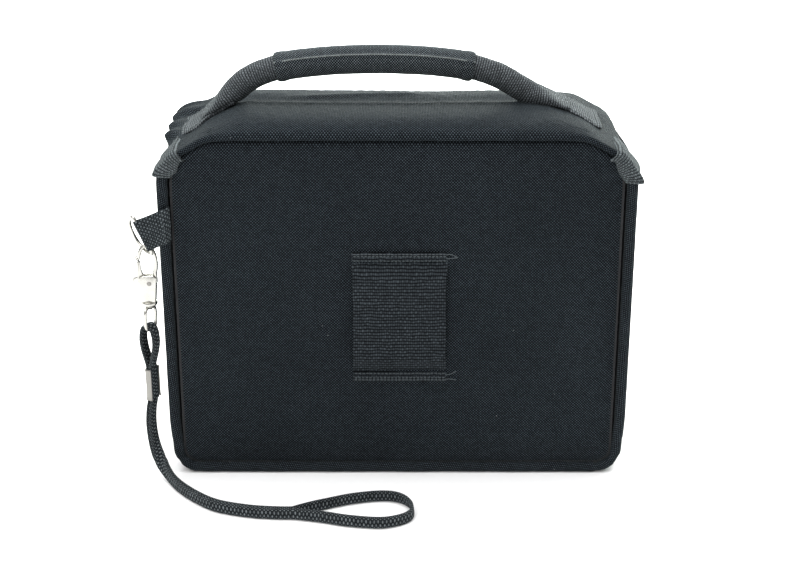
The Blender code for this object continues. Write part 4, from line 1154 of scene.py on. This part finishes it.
ring_line = [ring_place(math.pi * i / 40) for i in range(41)]
ring_line += even([ring_line[-1], ring_line[0]], 1.0 * mm)[1:-1]
for _ in range(2):
    ring_line = [(ring_line[i - 1] + 2 * p + ring_line[(i + 1) % len(ring_line)]) / 4
                 for i, p in enumerate(ring_line)]
ring_wire = tube(ring_line, tab_down.cross(ring_bow), round_section(RING_WIRE), 16, closed=True)
piece("ring_wire", ring_wire, nickel, "ring", "nickel", ["d_ring"])


# ---- Lobster clasp
# A die-cast nickel clasp: an open oval hook on a tapered body, closed by a sprung lever with a thumb nub,
# and a swivel eye headed over in the body's foot.

CLASP = Vector((-112.2, -36.4, 113.75)) * mm
HOOK_WIRE = 0.95 * mm


def at_clasp(x, below, y=0.0):
    """A point in the clasp: to the right, below its top and backwards, in mm."""
    return CLASP + Vector((x * mm, y * mm, -below * mm))


def turned(profile, low, high, steps=28):
    """A solid turned about the line from low to high. profile holds (share of the way, radius in mm)."""
    edit = bmesh.new()
    axis = high - low
    side = axis.orthogonal().normalized()
    verts = [edit.verts.new(low + axis * share + side * (radius * mm)) for share, radius in profile]
    edges = [edit.edges.new(pair) for pair in zip(verts, verts[1:])]
    bmesh.ops.spin(edit, geom=verts + edges, cent=low, axis=axis.normalized(), angle=math.tau, steps=steps,
                   use_merge=True)
    bmesh.ops.remove_doubles(edit, verts=edit.verts, dist=1e-7)
    bmesh.ops.recalc_face_normals(edit, faces=edit.faces)
    return edit


def joined(*edits):
    """One bmesh with the shapes of several."""
    whole = bmesh.new()
    for edit in edits:
        mesh = bpy.data.meshes.new("joined")
        edit.to_mesh(mesh)
        edit.free()
        whole.from_mesh(mesh)
        bpy.data.meshes.remove(mesh)
    return whole


def plate(points, thickness, edge):
    """A flat plate with the outline points, in mm at the clasp, and rounded edges."""
    edit = bmesh.new()
    through = Vector((0, thickness, 0))
    face = edit.faces.new([edit.verts.new(at_clasp(x, below) - through / 2) for x, below in points])
    grown = bmesh.ops.extrude_face_region(edit, geom=[face])["geom"]
    bmesh.ops.translate(edit, vec=through, verts=[v for v in grown if isinstance(v, bmesh.types.BMVert)])
    bmesh.ops.recalc_face_normals(edit, faces=edit.faces)
    bmesh.ops.bevel(edit, geom=edit.edges[:], offset=edge, offset_type="OFFSET", affect="EDGES", segments=3,
                    profile=0.5, material=-1, clamp_overlap=True)
    return edit


hook_points = [at_clasp(3.3, 17.2), at_clasp(3.35, 15.6)]
for i in range(25):
    turn = math.radians(-35 + 198 * i / 24)
    hook_points.append(at_clasp(3.9 * math.cos(turn), 8.2 * (1 - math.sin(turn))))
hook_line = curved(hook_points, 0.45 * mm)


def hook_section(i, turn):
    share = i / (len(hook_line) - 1)
    radius = HOOK_WIRE * (1.12 - 0.2 * share)
    return radius * 1.1 * math.cos(turn), radius * math.sin(turn)


hook_wire = tube(hook_line, FORWARDS, hook_section, 16)
cheeks = [plate([(-2.2, 13.9), (-4.0, 14.6), (-3.1, 26.6), (3.1, 26.6), (4.0, 14.6), (2.4, 13.8)],
                1.35 * mm, 0.4 * mm) for _ in range(2)]
for cheek, away in zip(cheeks, (-1, 1)):
    bmesh.ops.translate(cheek, vec=(0, away * 1.75 * mm, 0), verts=cheek.verts)
back_web = plate([(1.9, 13.9), (3.9, 14.6), (3.0, 26.6), (0.7, 26.6), (1.2, 20.0)], 3.4 * mm, 0.35 * mm)
foot_block = plate([(-3.0, 23.0), (-3.0, 26.8), (3.0, 26.8), (3.0, 23.0)], 4.4 * mm, 0.4 * mm)
collar = turned([(0, 0.0), (0, 2.9), (0.12, 3.55), (0.3, 3.7), (0.7, 3.7), (0.88, 3.5), (1, 3.0), (1, 0.0)],
                at_clasp(0, 26.4), at_clasp(0, 28.3))
nose = turned([(0, 0.0), (0, 0.9), (0.6, 1.25), (0.9, 1.0), (1, 0.0)],
              at_clasp(-3.6, 5.4), at_clasp(-5.0, 6.6), 16)
piece("clasp_hook_body", joined(hook_wire, *cheeks, back_web, foot_block, collar, nose), nickel, "clasp",
      "nickel", ["clasp_hook"], sharp=35)

# A darker copy of the bright nickel for the rivet, the spring and the crimp: its darkness is painted shade
painted_shade_nickel = nickel_plate("nickel_with_painted_shade", 0.3, (0.30, 0.29, 0.27))
rivet = turned([(0, 0.0), (0, 0.9), (0.06, 1.05), (0.12, 0.8), (0.13, 0.65), (0.87, 0.65),
                (0.88, 0.8), (0.94, 1.05), (1, 0.9), (1, 0.0)],
               at_clasp(0.7, 17.4, -2.75), at_clasp(0.7, 17.4, 2.75), 20)
piece("lever_rivet", rivet, painted_shade_nickel, "clasp", "nickel", ["lever_pin"])

lever = plate([(1.9, 18.2), (1.9, 16.6), (0.8, 15.9), (-1.9, 14.0), (-2.8, 11.5), (-3.1, 7.6), (-3.9, 6.9),
               (-4.6, 7.8), (-4.6, 14.6), (-6.4, 15.4), (-7.0, 16.4), (-6.4, 17.5), (-4.3, 18.1),
               (-1.0, 19.0), (0.9, 19.0)], 1.7 * mm, 0.35 * mm)
ridges = [turned([(0, 0.0), (0, 0.28), (1, 0.28), (1, 0.0)], at_clasp(x, below, -1.0),
                 at_clasp(x, below, 1.0), 10) for x, below in ((-6.6, 15.6), (-7.0, 16.4), (-6.6, 17.3))]
piece("clasp_thumb_lever", joined(lever, *ridges), nickel, "lever", "nickel", ["clasp_lever"], sharp=35)

SPRING_ROUTE = [(-2.6, 20.6), (-1.2, 20.9), (0.4, 20.9), (1.8, 20.5)]
spring_line = curved([at_clasp(x, below) for x, below in SPRING_ROUTE], 0.4 * mm)
piece("lever_spring_wire", tube(spring_line, FORWARDS, round_section(0.3 * mm), 10), painted_shade_nickel, "clasp",
      "nickel", ["lever_spring"])

STRAP_TURN = math.radians(28)
across_strap = Vector((math.sin(STRAP_TURN), math.cos(STRAP_TURN), 0))
strap_face = Vector((math.cos(STRAP_TURN), -math.sin(STRAP_TURN), 0))
eye_line = []
for i in range(72):
    turn = math.tau * i / 72
    c, s = math.cos(turn), math.sin(turn)
    down = 34.9 + 5.6 * math.copysign(abs(s) ** 0.6, s)
    eye_line.append(at_clasp(0, down) + across_strap * (3.9 * mm * math.copysign(abs(c) ** 0.7, c)))
eye_line = even(eye_line + eye_line[:1], 0.55 * mm)[:-1]
swivel_wire = tube(eye_line, strap_face, round_section(0.8 * mm), 14, closed=True)
post = turned([(0, 0.0), (0, 1.0), (0.12, 1.6), (0.16, 1.0), (0.72, 1.0), (0.74, 2.4),
               (0.8, 2.6), (0.88, 2.3), (0.94, 1.5), (1, 1.2), (1, 0.0)],
              at_clasp(0, 22.0), at_clasp(0, 30.4), 24)
piece("swivel_eye_bail", joined(swivel_wire, post), nickel, "swivel", "nickel", ["swivel_eye"], sharp=40)


# ---- Wrist strap
# A flat woven webbing, 5.6 mm wide. A small loop of it hangs in the swivel eye, a folded metal crimp holds
# both ends, and the doubled run below leads to the open hand loop, on edge where it lies on the ground.

STRAP_WIDTH = 5.6 * mm
STRAP_WALL = 1.3 * mm
CRIMP_TOP, CRIMP_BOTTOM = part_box("strap_crimp")[1].z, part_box("strap_crimp")[0].z
GROUND = 3.2
RUN_ROUTE = [
    (-113.3, -36.6, CRIMP_BOTTOM / mm - 0.45), (-114.3, -37.0, 32.5), (-114.6, -37.6, 25.0),
    (-113.5, -38.6, 15.8),
    (-110.6, -41.5, 8.2), (-106.0, -48.0, GROUND + 0.9), (-100.0, -57.0, GROUND), (-91.0, -67.0, GROUND),
    (-81.0, -74.6, GROUND), (-67.0, -79.2, GROUND), (-55.0, -80.8, GROUND), (-46.4, -81.0, GROUND),
]
LOOP_ROUTE = [
    (-46.8, -80.3, GROUND), (-40.5, -76.7, GROUND), (-33.0, -73.2, GROUND), (-20.0, -68.0, GROUND),
    (-6.0, -65.6, GROUND), (2.6, -68.6, GROUND), (6.8, -76.6, GROUND), (4.6, -84.6, GROUND),
    (-5.7, -89.4, GROUND), (-20.0, -88.2, GROUND), (-33.0, -84.6, GROUND), (-40.5, -82.8, GROUND),
    (-46.8, -81.7, GROUND),
]
strap_cloth = woven("strap_webbing", (0.002, 0.003, 0.004), (0.024, 0.028, 0.032), (0.165, 0.185, 0.195),
                    (0.75, 0.9), depth=0.35, sheen=0.06, lint=0.2)


def ribbon(line, widths, width, wall, off=0.0):
    """A flat webbing along a line with rounded edges. widths is the direction of its width at each point."""
    length = line_length(line) / mm
    around = 20

    def place(s, t):
        i = round(s * (len(line) - 1))
        along = (line[min(i + 1, len(line) - 1)] - line[max(i - 1, 0)]).normalized()
        wide = (widths[i] - along * widths[i].dot(along)).normalized()
        out = along.cross(wide)
        c, d = math.cos(math.tau * t), math.sin(math.tau * t)
        return (line[i] + out * off + wide * (width / 2 * math.copysign(abs(c) ** 0.55, c))
                + out * (wall / 2 * math.copysign(abs(d) ** 0.6, d)))

    layout = lambda s, t: (t * 2 * width / mm, s * length)
    return capped(woven_grid(len(line) - 1, around, place, layout, weld=True))


run_line = curved([Vector(p) * mm for p in RUN_ROUTE], 1.5 * mm)
run_widths = []
for i, at in enumerate(run_line):
    twist = smooth_step(i / (len(run_line) - 1), 0.12, 0.42)
    run_widths.append((across_strap * (1 - twist) + Vector((0, 0, 1)) * twist * 1.2).normalized())
LAYER = 0.72 * mm
third = len(run_line) // 3
# The run is modelled in three lengths that meet end to end; each row names the bodies above and below it
for name, first, last, upper, lower in (
    ("strap_run_top", 0, third, "swivel", "clasp"),
    ("strap_run_middle", third, 2 * third, "clasp", "ring"),
    ("strap_run_low", 2 * third, len(run_line) - 1, "ring", "case"),
):
    line, widths = run_line[first:last + 1], run_widths[first:last + 1]
    layers = [ribbon(line, widths, STRAP_WIDTH, STRAP_WALL, off) for off in (-LAYER, LAYER)]
    length_piece = piece(name, joined(*layers), strap_cloth, None, "webbing", ["strap_run"])
    tuple(line[1])
    tuple(line[-2])
    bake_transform(length_piece)
    tuple(line[0])
    round(line_length(line), 4)
    [tuple(p) for p in line]

loop_line = curved([Vector(p) * mm for p in LOOP_ROUTE], 1.5 * mm)
loop_length = line_length(loop_line)
loop_widths = [Vector((0.12 * math.sin(i * 0.11), 0.10 * math.cos(i * 0.09), 1))
               for i in range(len(loop_line))]
loop_piece = piece("strap_hand_loop_webbing", ribbon(loop_line, loop_widths, STRAP_WIDTH, STRAP_WALL),
                   strap_cloth, "case", "webbing", ["strap_hand_loop"])

eye_low, eye_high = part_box("strap_eye_loop")
hang_x, hang_y = -113.2 * mm, -36.4 * mm
loop_half = [(0.75, eye_low.z / mm - 1.5), (0.8, 55.6), (1.6, 58.5), (2.9, 63.0), (3.55, 67.5), (3.2, 71.5),
             (2.2, 74.3), (0.0, eye_high.z / mm - 0.6)]
loop_points = [Vector((x, 0, z)) for x, z in loop_half] + [Vector((-x, 0, z)) for x, z in loop_half[-2::-1]]
small_loop = curved(loop_points, 0.8)
small_loop = [Vector((hang_x, hang_y, p.z * mm)) + strap_face * (p.x * mm) for p in small_loop]
piece("strap_small_loop", ribbon(small_loop, [across_strap] * len(small_loop), STRAP_WIDTH, STRAP_WALL),
      strap_cloth, "swivel", "webbing", ["strap_eye_loop"])

# The crimp is a sheet-metal strip folded round the webbing: one face closed, the strap bare on the other
crimp_half = (CRIMP_TOP - CRIMP_BOTTOM) / 2
crimp_mid = Vector((hang_x + 0.3 * mm, hang_y, (CRIMP_TOP + CRIMP_BOTTOM) / 2))
crimp_fold = [(1.55, -3.35), (0.2, -3.55), (-1.2, -3.5), (-1.85, -2.9), (-1.95, 0.0), (-1.85, 2.9),
              (-1.2, 3.5), (0.2, 3.55), (1.55, 3.35)]
crimp_line = curved([Vector((a, b, 0)) for a, b in crimp_fold], 0.35)


def crimp_place(s, t):
    at = crimp_line[round(s * (len(crimp_line) - 1))]
    flare = 1 + 0.07 * smooth_step(abs(2 * t - 1), 0.82, 1.0)
    dent = 0.25 * hump(2 * t - 1, 0, 0.2) * smooth_step(-at.x, 1.2, 1.9)
    across = strap_face * ((at.x + dent) * flare * mm) + across_strap * (at.y * flare * mm)
    return crimp_mid + across + Vector((0, 0, crimp_half * (2 * t - 1)))


sheet("strap_crimp_sheet", len(crimp_line) - 1, 24, crimp_place, lambda s, t: (s * 12.0, t * 15.0),
      -strap_face, painted_shade_nickel, "swivel", "nickel", ["strap_crimp"], wall=0.45 * mm)
held = [crimp_mid + Vector((0, 0, crimp_half * share)) for share in (-1.04, -0.5, 0, 0.5, 1.04)]
layers = [ribbon(curved(held, 1.0 * mm), [across_strap] * 60, STRAP_WIDTH, 1.25 * mm, off)
          for off in (-0.75 * mm, 0.65 * mm)]
piece("strap_in_crimp", joined(*layers), strap_cloth, "swivel", "webbing")


# ---- Zip sliders and pulls
# Two black-enamelled zinc sliders meet at the middle of the front, each with a bridge that carries a flat
# tag pull on a wire eye.

enamel, tree, shader, place = new_material("black_enamel", 0.5, Specular_IOR_Level=0.1)
chips = math_node(tree, "GREATER_THAN", noise_node(tree, place, 420.0, 5.0, 0.7), 0.7)
mottle = noise_node(tree, place, 900.0, 2.0)
dark = blend_node(tree, mottle, (0.010, 0.010, 0.011), (0.026, 0.026, 0.028))
tree.links.new(blend_node(tree, chips, dark, (0.30, 0.29, 0.27)), shader["Base Color"])
tree.links.new(chips, shader["Metallic"])
tree.links.new(math_node(tree, "MULTIPLY_ADD", mottle, 0.2, 0.4), shader["Roughness"])
tree.links.new(bump_node(tree, mottle, 0.05 * mm, 0.6), shader["Normal"])

for side_name in ("left", "right"):
    for node in ("slider_" + side_name, "pull_" + side_name):
        cast = rounded_copy(node, 1, 60, 0.35 * mm, 3)
        piece(node + "_cast", cast, enamel, node, "dark_metal", [node], sharp=35)


# ---- Ground, light and camera
# A white table under a white sky with three broad lamps, the greenish one beyond the case. The camera looks
# at the back of the case from a little above.

ground = bmesh.new()
bmesh.ops.create_grid(ground, x_segments=2, y_segments=2, size=8.0)
ground_mesh = bpy.data.meshes.new("ground")
ground.to_mesh(ground_mesh)
ground.free()
paper, tree, shader, place = new_material("white_paper", 0.9)
grain = noise_node(tree, place, 300.0, 3.0)
tree.links.new(blend_node(tree, grain, (0.90, 0.90, 0.90), (0.94, 0.94, 0.94)), shader["Base Color"])
ground_mesh.materials.append(paper)
floor = bpy.data.objects.new("ground", ground_mesh)
bpy.context.scene.collection.objects.link(floor)

world = bpy.data.worlds.new("white_surroundings")
bpy.context.scene.world = world
world.use_nodes = True
tree = world.node_tree
sky = tree.nodes.new("ShaderNodeSeparateXYZ")
tree.links.new(tree.nodes.new("ShaderNodeTexCoord").outputs["Generated"], sky.inputs[0])
overhead = math_node(tree, "MAXIMUM", sky.outputs[2], 0.0)
ahead = math_node(tree, "MAXIMUM", sky.outputs[1], 0.0)
from_above, from_ahead = (math_node(tree, "MULTIPLY", share, strength)
                          for share, strength in ((overhead, 1.2), (ahead, 0.6)))
glow = math_node(tree, "ADD", from_above, from_ahead)
tree.links.new(math_node(tree, "ADD", glow, 0.10), tree.nodes["Background"].inputs["Strength"])
tree.nodes["Background"].inputs["Color"].default_value = (1.0, 1.0, 1.0, 1.0)

for name, place, power, size, colour in (
    ("overhead_light", (0.0, 0.25, 1.3), 27.0, 1.3, (1.0, 1.0, 1.0)),
    ("key_light", (-0.6, -0.9, 1.0), 7.0, 0.8, (1.0, 1.0, 1.0)),
    ("rim_light", (0.2, 1.2, 0.5), 32.0, 1.0, (0.92, 1.0, 0.95)),
):
    lamp = bpy.data.lights.new(name, "AREA")
    lamp.energy = power
    lamp.size = size
    lamp.color = colour
    lamp_object = bpy.data.objects.new(name, lamp)
    lamp_object.location = place
    aim = Vector((0, 0, 0.1)) - Vector(place)
    lamp_object.rotation_euler = aim.to_track_quat("-Z", "Y").to_euler()
    bpy.context.scene.collection.objects.link(lamp_object)

ELEVATION = math.radians(22)
DISTANCE = 0.727
target = Vector((0.0012, -0.0375, 0.0958))
camera_data = bpy.data.cameras.new("camera")
camera_data.lens = 72.7
camera_data.sensor_width = 36
camera = bpy.data.objects.new("camera", camera_data)
camera.location = target + Vector((0, -math.cos(ELEVATION), math.sin(ELEVATION))) * DISTANCE
camera.rotation_euler = (math.pi / 2 - ELEVATION, 0, 0)
bpy.context.scene.collection.objects.link(camera)
bpy.context.scene.camera = camera
bpy.context.scene.view_settings.view_transform = "Standard"
